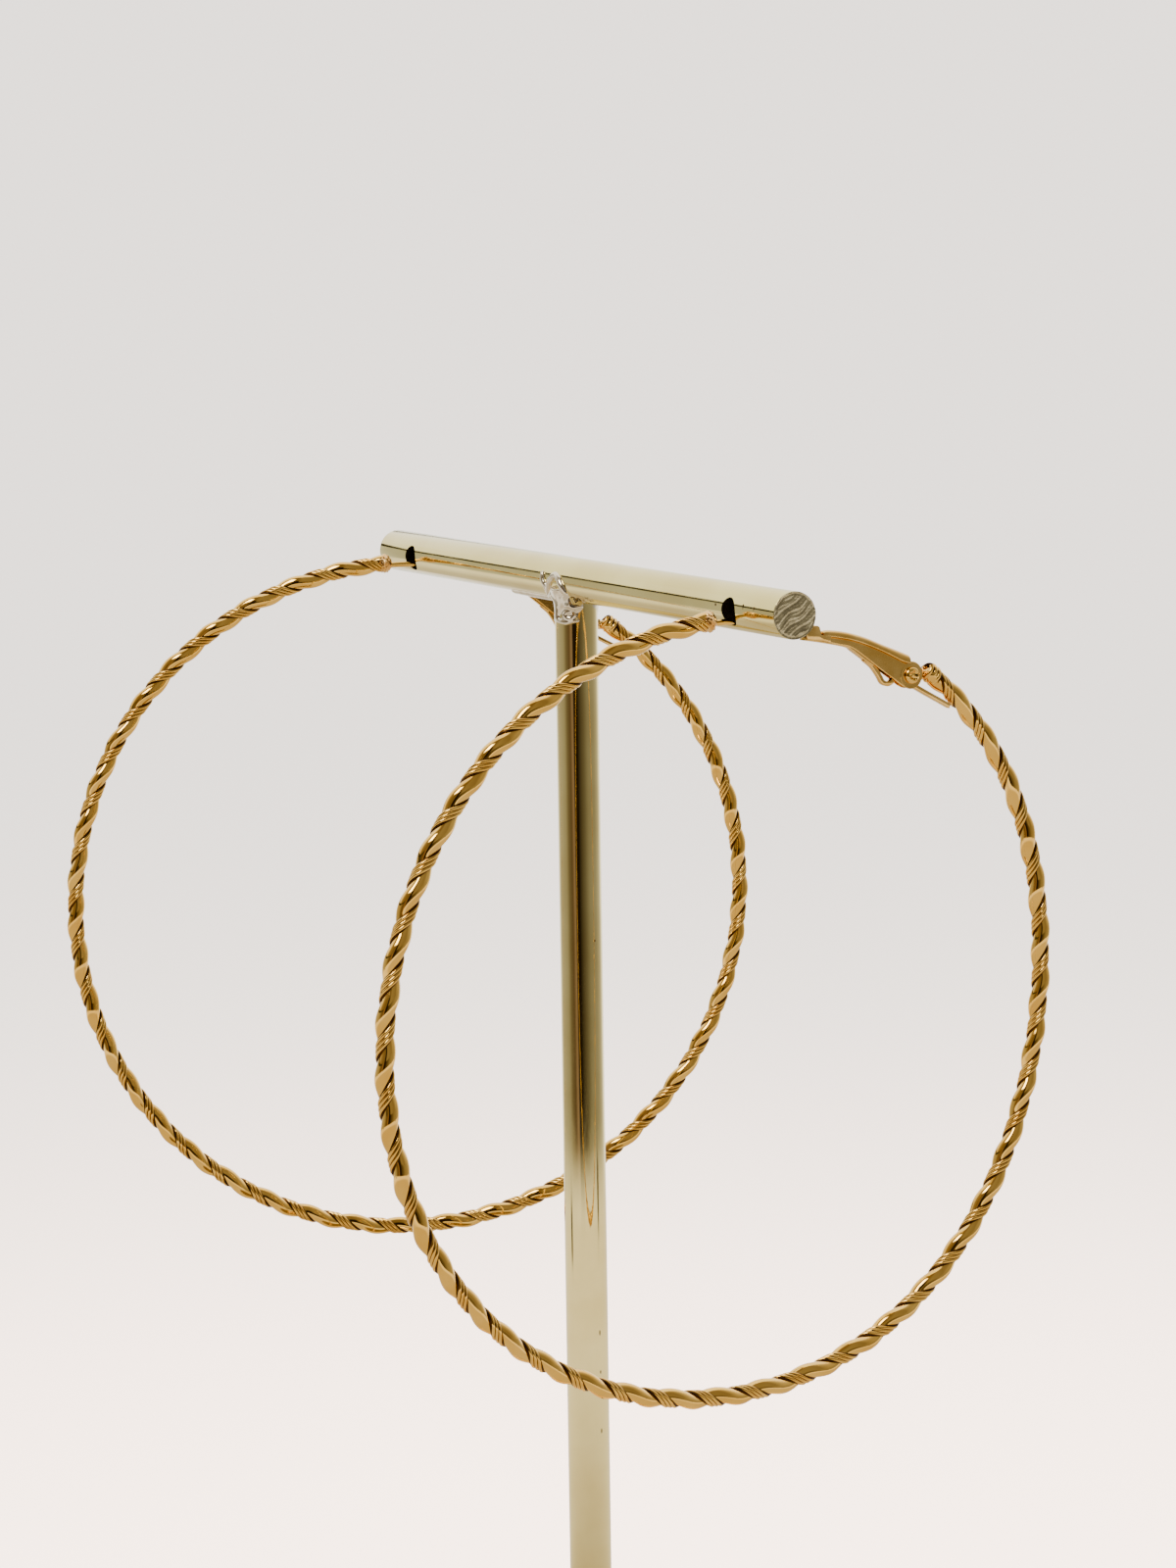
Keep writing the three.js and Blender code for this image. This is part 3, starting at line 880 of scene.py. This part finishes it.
@dataclass
class LatchLever:
    """The latch: a folded channel with ears, a strap that curls into a loop, two prongs.

    Each station of the channel holds its place in u, the top of its rolled back, how far the
    roll reaches down to its seam, the walls' lower edge, and half the roll's width.
    """

    fittings: PostAndHinge
    stations: tuple[tuple[float, float, float, float, float], ...] = (
        (-11.38, 5.52, 0.66, 4.40, 0.50),
        (-10.72, 5.60, 0.74, 4.25, 0.56),
        (-9.45, 5.45, 0.80, 3.95, 0.57),
        (-7.75, 5.10, 0.82, 3.50, 0.58),
        (-5.85, 4.52, 0.87, 2.25, 0.60),
        (-3.65, 3.62, 0.88, 0.65, 0.61),
        (-2.15, 3.02, 1.02, -0.38, 0.66),
        (-1.05, 2.58, 1.12, -1.15, 0.70),
        (-0.15, 2.20, 1.00, -1.46, 0.72),
    )
    channel_steps: int = 44
    crown_steps: int = 10
    wall: float = 0.17
    wall_inset: float = 0.10
    lower_edge: Route = ((-0.085, 0.0), (-0.0204, 0.03), (0.0, 0.1), (0.0, 0.16))
    inner_edge: float = 0.04
    seam: Route = ((0.0, -0.14), (0.0, -0.07), (-0.07, 0.0))
    roll_start: tuple[float, float] = (-0.02, 0.105)
    roll_foot: float = 0.3
    back_thickness: float = 0.2
    bevel: float = 0.07
    smooth_angle: float = 34.0
    ear_radius: float = 1.5
    ear_hole: float = 0.57
    ear_sides: int = 48
    floor_route: Route = ((-13.87, 4.90), (-11.27, 4.42), (-8.27, 3.73), (-7.27, 3.15), (-4.87, 1.45))
    floor_thickness: float = 0.35
    floor_half_width: float = 0.44
    loop_route: Route = (
        (-5.9, 2.16), (-4.81, 1.3), (-3.95, 0.2), (-3.61, -0.38),
        (-3.26, -0.65), (-2.83, -0.75), (-2.41, -0.61), (-2.11, -0.37),
    )
    loop_half_width: float = 0.3
    loop_thickness: float = 0.54
    strap_steps: int = 40
    prong_outline: Route = (
        (-13.6, 4.84), (-11.4, 4.46), (-10.5, 4.25), (-10.5, 5.00), (-11.4, 5.12), (-11.75, 5.24),
        (-11.85, 5.75), (-11.95, 6.05), (-12.2, 6.22), (-13.1, 6.22), (-13.45, 6.05), (-13.6, 5.80),
    )
    prong_inner: float = 0.38
    prong_outer: float = 0.58
    reach: tuple[float, float] = (-11.85, 5.75)

    def section(self, top: float, roll: float, low: float, half_width: float) -> list[tuple[float, float]]:
        """The channel's section at one station, as n and v.

        Args:
            top: The height of the rolled back.
            roll: How far the roll reaches down to its seam with the wall.
            low: The height of the walls' lower edges.
            half_width: Half the roll's width.

        Returns:
            The section's points, the same number at every station.
        """
        face = half_width - self.wall_inset
        inside = face - self.wall
        seam = top - roll
        outer = [(face + n, low + v) for n, v in self.lower_edge]
        outer += [(face + n, seam + v) for n, v in self.seam]
        outer.append((half_width + self.roll_start[0], seam + self.roll_start[1]))
        outer += self.crown(half_width, top, roll - self.roll_foot)
        inner = [(inside, low + self.inner_edge)]
        inner += self.crown(inside, top - self.back_thickness, roll - self.back_thickness)
        left_outer = [(-n, v) for n, v in reversed(outer[:-1])]
        left_inner = [(-n, v) for n, v in inner[:-1]]
        return outer + left_outer + left_inner + list(reversed(inner))

    def crown(self, half_width: float, top: float, height: float) -> list[tuple[float, float]]:
        """A quarter of an ellipse, from its side up to its top in the middle."""
        return [
            (half_width * math.cos(a), top - height + height * math.sin(a))
            for a in np.linspace(0, math.pi / 2, self.crown_steps)
        ]

    def channel(self) -> Shell:
        """The folded channel, lofted smoothly through its stations."""
        rows = smooth_row(self.stations, self.channel_steps)
        return tube([[(u, n, v) for n, v in self.section(*sizes)] for u, *sizes in rows])

    def ear(self, side: int) -> Shell:
        """One ear: a disc with a hole and rounded rims."""
        outer_face = self.stations[-1][-1] - self.wall_inset
        inner_face = outer_face - self.wall
        rim = self.ear_radius - self.bevel
        profile = (
            (self.ear_hole, inner_face), (rim, inner_face), (self.ear_radius, inner_face + self.bevel),
            (self.ear_radius, outer_face - self.bevel), (rim, outer_face), (self.ear_hole, outer_face),
        )
        circle = circle_points(1.0, self.ear_sides)
        rings = [[(r * a, side * depth, r * b) for a, b in circle] for r, depth in profile]
        return tube(rings, looped=True)

    def turned(self, shell: Shell) -> Shell:
        """Turns the lever about its hinge so that its prongs meet the post's tip."""
        gap = self.fittings.post_tip() - self.fittings.hinge()
        turn = math.atan2(gap[2], gap[0]) - math.atan2(self.reach[1], self.reach[0])
        return Shell(spun(shell.points, 0, 2, turn), shell.faces)

    def build(self) -> Piece:
        """Builds the lever.

        Returns:
            The lever, riding on nothing yet.
        """
        shells = [self.channel()]
        for side in (-1, 1):
            low, high = sorted((side * self.prong_inner, side * self.prong_outer))
            shells += [self.ear(side), plate(np.array(self.prong_outline), low, high, self.bevel)]
        for route, thickness, half_width in (
            (self.floor_route, self.floor_thickness, self.floor_half_width),
            (self.loop_route, self.loop_thickness, self.loop_half_width),
        ):
            shells.append(bent_strip(route, self.strap_steps, thickness, half_width, self.bevel))
        rope = self.fittings.rope
        placed = rope.hoop.place(self.fittings.at_hinge(self.turned(joined(shells))))
        return placed.object(f"{rope.hoop.name}_latch", rope.palette.get(SATIN_GOLD), self.smooth_angle)


# The stand


@dataclass
class Stand:
    """The t-bar stand: bar, pole, the solder between them, and a round foot.

    The rim dip and the burr of the sawn end have their place and width as shares of its radius.
    Each wear mark holds its middle and its half sizes. Each solder ridge holds its radius and
    the places that it runs through, with heights from the bar's axis.
    """

    palette: Palette
    sides: int = 96
    centre_radius: float = 0.02
    bar_radius: float = 2.5
    bar_length: float = 101.0
    bar_rims: tuple[float, float] = (0.06, 0.55)
    bar_smooth_angle: float = 40.0
    hole_radius: float = 1.5
    hole_sides: int = 64
    hole_reach: float = 40.72
    hole_drop: float = 0.25
    cutter_reach: float = 4.0
    sawn_depth: float = 0.16
    sawn_inset: float = 0.03
    sawn_sides: int = 144
    sawn_rows: int = 30
    sawn_smooth_angle: float = 60.0
    groove_depth: float = 0.019
    sawn_centre: float = 0.01
    rim_dip: float = 0.07
    rim_dip_place: tuple[float, float] = (0.92, 0.025)
    burr: float = 0.05
    burr_place: tuple[float, float] = (0.97, 0.03)
    pole_radius: float = 2.45
    pole_rim: float = 0.3
    base_radius: float = 40.0
    base_thickness: float = 6.0
    base_sides: int = 160
    base_rim: float = 0.8
    base_foot_rim: float = 0.2
    socket_depth: float = 4.0
    socket_rim: float = 0.15
    seat_gap: float = 0.3
    core_heights: tuple[float, float] = (-4.75, -0.9)
    core_flare: float = 0.55
    core_thickness: float = 0.06
    core_sunk: float = 0.03
    core_sides: int = 72
    core_rows: int = 24
    solder_voxel: float = 0.13
    solder_smoothing: int = 4
    solder_smooth_angle: float = 180.0
    ridge_steps: int = 9
    marks: tuple[tuple[Triple, Triple], ...] = (
        ((-2.42, -43.85, 145.44), (0.09, 0.07, 0.36)),
        ((-2.42, -46.15, 145.42), (0.09, 0.07, 0.28)),
        ((-2.44, -37.94, 145.27), (0.10, 0.18, 0.18)),
        ((-2.40, -24.60, 145.50), (0.09, 0.36, 0.06)),
        ((0.55, -2.29, 103.43), (0.13, 0.13, 0.22)),
        ((0.43, -2.33, 56.90), (0.12, 0.12, 0.50)),
        ((0.47, -2.32, 52.16), (0.12, 0.12, 0.34)),
        ((0.49, -2.32, 45.03), (0.12, 0.12, 0.42)),
    )
    solder_ridges: tuple[tuple[float, tuple[Triple, ...]], ...] = (
        (0.36, ((-2.39, 3.57, 0.54), (-2.5, 3.38, -0.11), (-2.34, 2.99, -0.88), (-1.71, 3.4, -1.82))),
        (0.42, (
            (-1.88, 3.0, -1.64), (-2.45, 1.94, -0.5), (-2.47, 0.97, 0.30), (-2.39, 0.31, 0.60),
            (-2.48, -0.57, 0.33), (-2.46, -1.38, -0.47), (-2.09, -1.75, -1.37), (-1.91, -1.53, -1.75),
            (-1.68, -1.75, -2.2), (-1.61, -1.80, -2.6),
        )),
        (0.46, ((-1.72, -1.60, -2.75), (-1.27, -2.0, -2.97), (-0.75, -2.2, -2.85))),
        (0.30, ((-2.42, -0.09, -4.53), (-2.25, -0.88, -4.66), (-1.9, -1.43, -4.72), (-1.1, -2.1, -4.5))),
        (0.24, (
            (-2.12, -1.22, -3.85), (-1.94, -1.5, -3.55), (-1.57, -1.88, -3.47), (-1.34, -2.05, -3.82),
            (-1.52, -1.92, -4.2), (-1.9, -1.55, -4.25), (-2.12, -1.22, -3.95),
        )),
        (0.34, ((-2.45, 0.9, -1.9), (-2.45, -0.05, -2.5), (-2.42, -0.15, -3.3), (-2.42, -0.1, -4.3))),
        (0.50, ((-2.2, 1.7, -1.9), (-2.3, 0.6, -1.1), (-2.2, -0.7, -1.4))),
        (0.85, ((-0.45, 14.5, -1.96), (-0.45, 11.0, -1.98), (-0.4, 7.0, -2.0), (-0.4, 3.0, -2.0))),
    )

    def turned(self, profile: Sequence[tuple[float, float]], sides: int) -> Shell:
        """A body turned about Z from radii and heights; tiny radii close its ends."""
        circle = circle_points(1.0, sides)
        return tube([[(r * a, r * b, z) for a, b in circle] for r, z in profile])

    @staticmethod
    def rim(
        radius: float, face: float, rounding: float, side: int, steps: int = 6,
    ) -> list[tuple[float, float]]:
        """A turned body's rounded rim, as radii and heights from its flat face to its side.

        Args:
            radius: The body's radius.
            face: The height of the flat face.
            rounding: The size of the rounding.
            side: 1 where the body's side lies above the face, -1 where it lies below.
            steps: How many points the rim has.

        Returns:
            The rim's points.
        """
        return [
            (radius - rounding * (1 - math.sin(a)), face + side * rounding * (1 - math.cos(a)))
            for a in np.linspace(0.0, math.pi / 2, steps)
        ]

    def rod(self, radius: float, heights: tuple[float, float], rims: tuple[float, float]) -> Shell:
        """An upright rod with rounded rims at its ends.

        Args:
            radius: The rod's radius.
            heights: Its two ends.
            rims: The rounding of each end's rim.

        Returns:
            The rod.
        """
        lower = self.rim(radius, heights[0], rims[0], 1)
        upper = self.rim(radius, heights[1], rims[1], -1)
        return self.turned(lower + upper[::-1], self.sides)

    def build(self) -> dict[str, Piece]:
        """Builds the stand.

        Returns:
            The pieces by their part.
        """
        pole_foot = self.base_thickness - self.socket_depth + self.seat_gap
        pole = self.rod(self.pole_radius, (pole_foot, BAR_HEIGHT), (self.pole_rim, self.pole_rim))
        wear = joined([ball(middle, size) for middle, size in self.marks])
        made = {
            "bar": self.bar().object("bar", self.palette.get(CHAMPAGNE_BAR)),
            "bar_sawn_end": self.sawn_end().object(
                "bar_sawn_end", self.palette.get(SAWN_END), self.sawn_smooth_angle,
            ),
            "pole": pole.object("pole", self.palette.get(CHAMPAGNE_POLE)),
            "foot": self.foot().object("foot", self.palette.get(CHAMPAGNE_BASE)),
            "wear_marks": wear.object("wear_marks", self.palette.get(PAINTED_GROOVE_SHADE_AND_WEAR)),
            "joint_solder": self.weld(),
        }
        self.drill(made["bar"])
        return made

    def bar(self) -> Shell:
        """The bar, a rod laid along Y, with its near end cut back for the sawn face."""
        half = self.bar_length / 2
        upright = self.rod(self.bar_radius, (self.sawn_depth - half, half), self.bar_rims)
        return Shell(upright.points[:, [0, 2, 1]] + (0.0, 0.0, BAR_HEIGHT), upright.faces)

    def sawn_end(self) -> Shell:
        """The bar's near end as the saw left it: slanting grooves, and a burr at the upper rim."""
        near = -self.bar_length / 2
        angle = round_angles(self.sawn_sides)
        radius = self.bar_radius - self.sawn_inset
        rings = [self.end_ring(angle, radius, near + 3 * self.sawn_depth)]
        for share in np.linspace(1.0, self.sawn_centre, self.sawn_rows):
            grooves = self.saw_marks(radius * share * np.cos(angle), radius * share * np.sin(angle))
            cut = near + self.sawn_depth / 2 + self.groove_depth * grooves
            dip = self.rim_dip * hump(share, *self.rim_dip_place)
            burr = self.burr * hump(share, *self.burr_place) * np.clip(np.sin(angle), 0, 1)
            ragged = 0.6 + 0.4 * np.sin(11 * angle)
            rings.append(self.end_ring(angle, radius * share, cut + dip - burr * ragged))
        return tube(rings)

    @staticmethod
    def saw_marks(x: np.ndarray, z: np.ndarray) -> np.ndarray:
        """The relief of the saw's wandering grooves at places on the sawn face."""
        across = 0.85 * z - 0.53 * x
        wander = 1.3 * np.sin(1.7 * x + z) + 0.7 * np.sin(3.1 * x - 1.4 * z)
        wide = np.sin(7 * across + wander)
        narrow = 0.6 * np.sin(17 * across + 1.7 * wander + 1.0)
        return wide + narrow + 0.35 * np.sin(37 * across + 2.6 * wander)

    @staticmethod
    def end_ring(angle: np.ndarray, radius: float, y: object) -> np.ndarray:
        """A ring of points round the bar's axis at the places y along it."""
        height = BAR_HEIGHT + radius * np.sin(angle)
        return np.stack([radius * np.cos(angle), y + 0 * angle, height], axis=1)

    def foot(self) -> Shell:
        """The stand's round foot, with the socket that the pole stands in."""
        socket = self.pole_radius + self.seat_gap
        floor = self.base_thickness - self.socket_depth
        profile = [
            (self.centre_radius, floor), (socket, floor),
            (socket, self.base_thickness - self.socket_rim),
            (socket + self.socket_rim, self.base_thickness),
            *self.rim(self.base_radius, self.base_thickness, self.base_rim, -1, 9),
            (self.base_radius, self.base_foot_rim),
            (self.base_radius - self.base_foot_rim, 0.0), (self.centre_radius, 0.0),
        ]
        return self.turned(profile, self.base_sides)

    def weld(self) -> Piece:
        """The silver solder between the pole's head and the bar, with the ridges that it set in."""
        shells = [self.solder_core()]
        for radius, route in self.solder_ridges:
            for x, y, z in smooth_row(route, self.ridge_steps * len(route)):
                shells.append(ball((x, y, BAR_HEIGHT + z), (radius, radius, radius)))
        piece = joined(shells).object("joint_solder", self.palette.get(SILVER_SOLDER))
        fused = piece.modifiers.new("fused", "REMESH")
        fused.mode = "VOXEL"
        fused.voxel_size = self.solder_voxel * MM
        piece.modifiers.new("flowed", "SMOOTH").iterations = self.solder_smoothing
        bake(piece)
        finish_mesh(piece, self.solder_smooth_angle)
        return piece

    def solder_core(self) -> Shell:
        """The thin layer of solder under the ridges, thickest at the bar's two sides."""
        low, high = self.core_heights
        angle = round_angles(self.core_sides)
        sideways = np.abs(np.cos(angle))
        rings = []
        for share in np.linspace(0.0, 1.0, self.core_rows):
            wave = 0.05 * np.sin(3 * angle + 5 * share) + 0.03 * np.sin(7 * angle - 9 * share + 1.0)
            flare = self.core_flare * share ** 2 * sideways ** 1.5
            radius = self.pole_radius + (flare + self.core_thickness + wave) * sideways - self.core_sunk
            height = np.full_like(angle, BAR_HEIGHT + low + share * (high - low))
            rings.append(np.stack([radius * np.cos(angle), radius * np.sin(angle), height], axis=1))
        return tube(rings)

    def drill(self, bar: Piece) -> None:
        """Cuts the two cross holes through the bar; their bores take the cutter's near-black finish as
        painted shade.
        """
        ends = [(self.hole_radius, height) for height in (-self.cutter_reach, self.cutter_reach)]
        rod = self.turned(ends, self.hole_sides)
        for side in (-1, 1):
            middle = (0.0, side * self.hole_reach, BAR_HEIGHT - self.hole_drop)
            laid = Shell(rod.points[:, [2, 1, 0]] + middle, rod.faces)
            cutter = laid.object("hole_cutter", self.palette.get(HOLE_SHADE))
            cut = bar.modifiers.new("hole", "BOOLEAN")
            cut.operation = "DIFFERENCE"
            cut.object = cutter
            cut.solver = "EXACT"
            # The cut faces take the cutter's near-black finish: painted shade in the holes.
            cut.material_mode = "TRANSFER"
            bake(bar)
            bpy.data.objects.remove(cutter)
        finish_mesh(bar, self.bar_smooth_angle)


# Floor, light and camera


@dataclass(frozen=True)
class RoomPatch:
    """A soft-edged patch of the room that the metal mirrors, in degrees.

    The turn is counted to the right of the viewer's side, and the lift above the horizon. Each
    holds the patch's middle, half its width, and how far from the middle it has faded out.
    """

    turn: Triple
    lift: Triple
    colour: Colour


OPENING = (0.02, 0.012, 0.006)


@dataclass
class Studio:
    """The pale floor, the soft light and the camera at the photograph's angle.

    The metal mirrors a room. Each edge holds the degrees above the horizon between which one
    part of the room runs into the next, and each band holds colours by degrees round from the
    viewer's side.
    """

    position: Triple = (-194.03, -391.36, 39.39 + BAR_HEIGHT)
    azimuth: float = -0.46268
    elevation: float = 0.14322
    roll: float = -0.01499
    lens: float = 88.178
    sensor: float = 36.0
    nearest: float = 0.01
    floor_half_size: float = 6.0
    floor_tone: float = 0.8
    floor_fade: tuple[float, float] = (0.15, 1.1)
    backdrop: Colour = (2.46, 2.24, 2.05)
    table: Colour = (1.62, 1.50, 1.34)
    near_table: Colour = (0.92, 0.80, 0.62)
    near_edge: tuple[float, float] = (-18.0, -26.0)
    table_edge: tuple[float, float] = (-15.0, -12.5)
    wall_edge: tuple[float, float] = (7.5, 10.5)
    patches: tuple[RoomPatch, ...] = (
        RoomPatch((-110.0, 62.0, 70.0), (7.6, 1.6, 2.6), (0.05, 0.045, 0.025)),
        RoomPatch((-12.0, 7.0, 11.0), (9.0, 19.0, 25.0), OPENING),
        RoomPatch((-81.0, 3.0, 7.0), (-15.3, 0.5, 1.1), OPENING),
        RoomPatch((75.0, 3.0, 7.0), (-14.3, 0.6, 1.2), OPENING),
        RoomPatch((-46.0, 13.0, 19.0), (48.0, 9.0, 14.0), (13.0, 12.6, 11.5)),
    )
    low_band: tuple[tuple[float, Colour], ...] = (
        (-150, (2.0, 1.95, 1.8)), (-136, (0.80, 0.78, 0.68)), (-112, (0.62, 0.58, 0.50)),
        (-78, (0.46, 0.43, 0.36)), (-60, (0.22, 0.18, 0.12)), (-42, (0.15, 0.10, 0.06)),
        (-28, (0.38, 0.26, 0.20)), (-20, (0.03, 0.02, 0.012)), (-4, (0.02, 0.014, 0.008)),
        (14, (0.11, 0.09, 0.06)), (30, (0.18, 0.16, 0.12)), (52, (0.32, 0.30, 0.25)),
        (92, (0.42, 0.40, 0.36)), (114, (0.65, 0.62, 0.56)), (132, (1.2, 1.15, 1.05)),
        (144, (2.4, 2.35, 2.25)),
    )
    high_band: tuple[tuple[float, Colour], ...] = (
        (-170, (2.1, 2.05, 1.9)), (-118, (1.75, 1.70, 1.5)), (-86, (0.40, 0.32, 0.22)),
        (-45, (0.22, 0.17, 0.11)), (-15, (0.22, 0.18, 0.12)), (10, (0.34, 0.31, 0.26)),
        (60, (0.28, 0.25, 0.20)), (104, (0.70, 0.66, 0.58)), (140, (2.0, 1.95, 1.85)),
    )
    lamp_size: float = 0.3
    lamps: tuple[tuple[str, Triple, float, Colour], ...] = (
        ("soft_table_lamp", (0.0, 0.0, 0.31), 6.4, (1.0, 0.64, 0.48)),
        ("soft_side_lamp", (0.2, 0.0, 0.36), 1.2, (1.0, 0.72, 0.6)),
    )

    def set_camera(self) -> None:
        """Sets up the camera."""
        back = Vector((
            math.sin(self.azimuth) * math.cos(self.elevation),
            -math.cos(self.azimuth) * math.cos(self.elevation),
            math.sin(self.elevation),
        ))
        right = (-back).cross(Vector((0, 0, 1))).normalized()
        up = right.cross(-back)
        cosine, sine = math.cos(self.roll), math.sin(self.roll)
        turn = Matrix((cosine * right + sine * up, cosine * up - sine * right, back)).transposed()
        data = bpy.data.cameras.new("camera")
        data.lens = self.lens
        data.sensor_width = self.sensor
        data.clip_start = self.nearest
        camera = bpy.data.objects.new("camera", data)
        camera.matrix_world = Matrix.Translation(Vector(self.position) * MM) @ turn.to_4x4()
        bpy.context.scene.collection.objects.link(camera)
        bpy.context.scene.camera = camera

    def lay_floor(self) -> None:
        """Lays a plain pale floor that runs into the backdrop without a visible edge."""
        mesh = bpy.data.meshes.new("floor")
        size = self.floor_half_size
        corners = [(-size, -size, 0), (size, -size, 0), (size, size, 0), (-size, size, 0)]
        mesh.from_pydata(corners, [], [(0, 1, 2, 3)])
        floor = bpy.data.objects.new("floor", mesh)
        bpy.context.scene.collection.objects.link(floor)
        material = new_material("pale_floor")
        tree = NodeTree(material.node_tree)
        tone = (self.floor_tone, self.floor_tone, self.floor_tone)
        near = tree.add("ShaderNodeBsdfDiffuse", {"Color": tone})
        far = tree.add("ShaderNodeEmission", {"Color": self.backdrop})
        distance = tree.add("ShaderNodeVectorMath", {0: tree.stretched()}, operation="LENGTH")
        blend = tree.add("ShaderNodeMixShader", {
            0: tree.step(distance.outputs["Value"], *self.floor_fade),
            1: near.outputs[0],
            2: far.outputs[0],
        })
        tree.add("ShaderNodeOutputMaterial", {"Surface": blend.outputs[0]})
        mesh.materials.append(material)
        floor.visible_glossy = False

    def surround(self) -> None:
        """Lights the floor evenly up to a pale backdrop, and gives the metal a room to mirror."""
        world = bpy.data.worlds.new("soft_surround")
        bpy.context.scene.world = world
        world.use_nodes = True
        tree = NodeTree(world.node_tree)
        path = tree.add("ShaderNodeLightPath", {})
        even_light = tuple(value / self.floor_tone for value in self.backdrop)
        seen = tree.mix(path.outputs["Is Diffuse Ray"], self.room(tree), even_light)
        seen = tree.mix(path.outputs["Is Camera Ray"], seen, self.backdrop)
        background = tree.add("ShaderNodeBackground", {"Color": seen})
        tree.add("ShaderNodeOutputWorld", {"Surface": background.outputs[0]})

    def room(self, tree: NodeTree) -> Socket:
        """The room round the stand: a bright table, a darker band, a pale wall and a window.

        Args:
            tree: The world's tree.

        Returns:
            The room's colour in the direction of each ray.
        """
        direction = tree.add("ShaderNodeTexCoord", {}).outputs["Generated"]
        x, y, z = tree.add("ShaderNodeSeparateXYZ", {0: direction}).outputs
        c, s = math.cos(self.azimuth), math.sin(self.azimuth)
        lateral = tree.maths("ADD", tree.maths("MULTIPLY", x, c), tree.maths("MULTIPLY", y, s))
        towards = tree.maths("ADD", tree.maths("MULTIPLY", x, s), tree.maths("MULTIPLY", y, -c))
        degrees = 180 / math.pi
        turn = tree.maths("MULTIPLY", tree.maths("ARCTAN2", lateral, towards), degrees)
        lift = tree.maths("MULTIPLY", tree.maths("ARCSINE", z), degrees)
        place = tree.maths("ADD", tree.maths("DIVIDE", turn, 360.0), 0.5)
        low, high = (
            tree.ramp(place, [(0.5 + around / 360, colour) for around, colour in band])
            for band in (self.low_band, self.high_band)
        )
        table = tree.mix(tree.step(lift, *self.near_edge), self.table, self.near_table)
        seen = tree.mix(tree.step(lift, *self.table_edge), table, low)
        seen = tree.mix(tree.step(lift, *self.wall_edge), seen, high)
        for patch in self.patches:
            outside = []
            for value, (middle, half, faded) in ((turn, patch.turn), (lift, patch.lift)):
                distance = tree.maths("ABSOLUTE", tree.maths("SUBTRACT", value, middle))
                outside.append(tree.step(distance, half, faded))
            seen = tree.mix(tree.maths("MAXIMUM", *outside), patch.colour, seen)
        return seen

    def hang_lamps(self) -> None:
        """Adds the soft lamps over the near part of the table."""
        for name, place, power, tint in self.lamps:
            data = bpy.data.lights.new(name, "AREA")
            data.size = self.lamp_size
            data.energy = power
            data.color = tint
            lamp = bpy.data.objects.new(name, data)
            lamp.location = place
            lamp.visible_glossy = False
            bpy.context.scene.collection.objects.link(lamp)

    def build(self) -> None:
        """Builds the whole stage."""
        self.set_camera()
        self.lay_floor()
        self.surround()
        self.hang_lamps()


# Putting it together


def settle(piece: Piece, body: Body, node: str) -> None:
    """Makes a piece ride on its body and what it replaces, and reports it."""
    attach(piece, body.value)
    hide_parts(node)
    LOG.info("%s: %d faces on %s", piece.name, len(piece.data.polygons), body.value)


def build_earring(hoop: HoopPlace, palette: Palette) -> None:
    """Builds one earring and puts its pieces on their bodies."""
    rope = Rope(hoop, palette)
    heavy, *fine = rope.build()
    settle(heavy, Body.STAND, f"{hoop.name}_heavy_strand")
    for piece in fine:
        settle(piece, Body.STAND, f"{hoop.name}_fine_strands")
    fittings = PostAndHinge(rope)
    made = fittings.build()
    for part, slot, node in (
        ("post", Slot.POLISHED, "heavy_strand"),
        ("hinge_block", Slot.POLISHED, "heavy_strand"),
        ("rivet", Slot.POLISHED, "rivet"),
        ("solder", Slot.POLISHED, "heavy_strand"),
        ("leaf", Slot.SATIN, "spring_leaf"),
    ):
        settle(made[part], Body.STAND, f"{hoop.name}_{node}")
    settle(LatchLever(fittings).build(), hoop.body, f"{hoop.name}_latch_lever")


def build_stand(palette: Palette) -> None:
    """Builds the stand and puts its pieces on the stand's body."""
    for part, piece in Stand(palette).build().items():
        settle(piece, Body.STAND, "base" if part == "foot" else "t_bar")


def main() -> None:
    """Builds the stage, the stand and both earrings."""
    logging.basicConfig(level=logging.INFO, format="%(name)s: %(message)s")
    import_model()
    palette = Palette()
    Studio().build()
    build_stand(palette)
    for hoop in (FRONT, BACK):
        build_earring(hoop, palette)


if __name__ == "__main__":
    main()
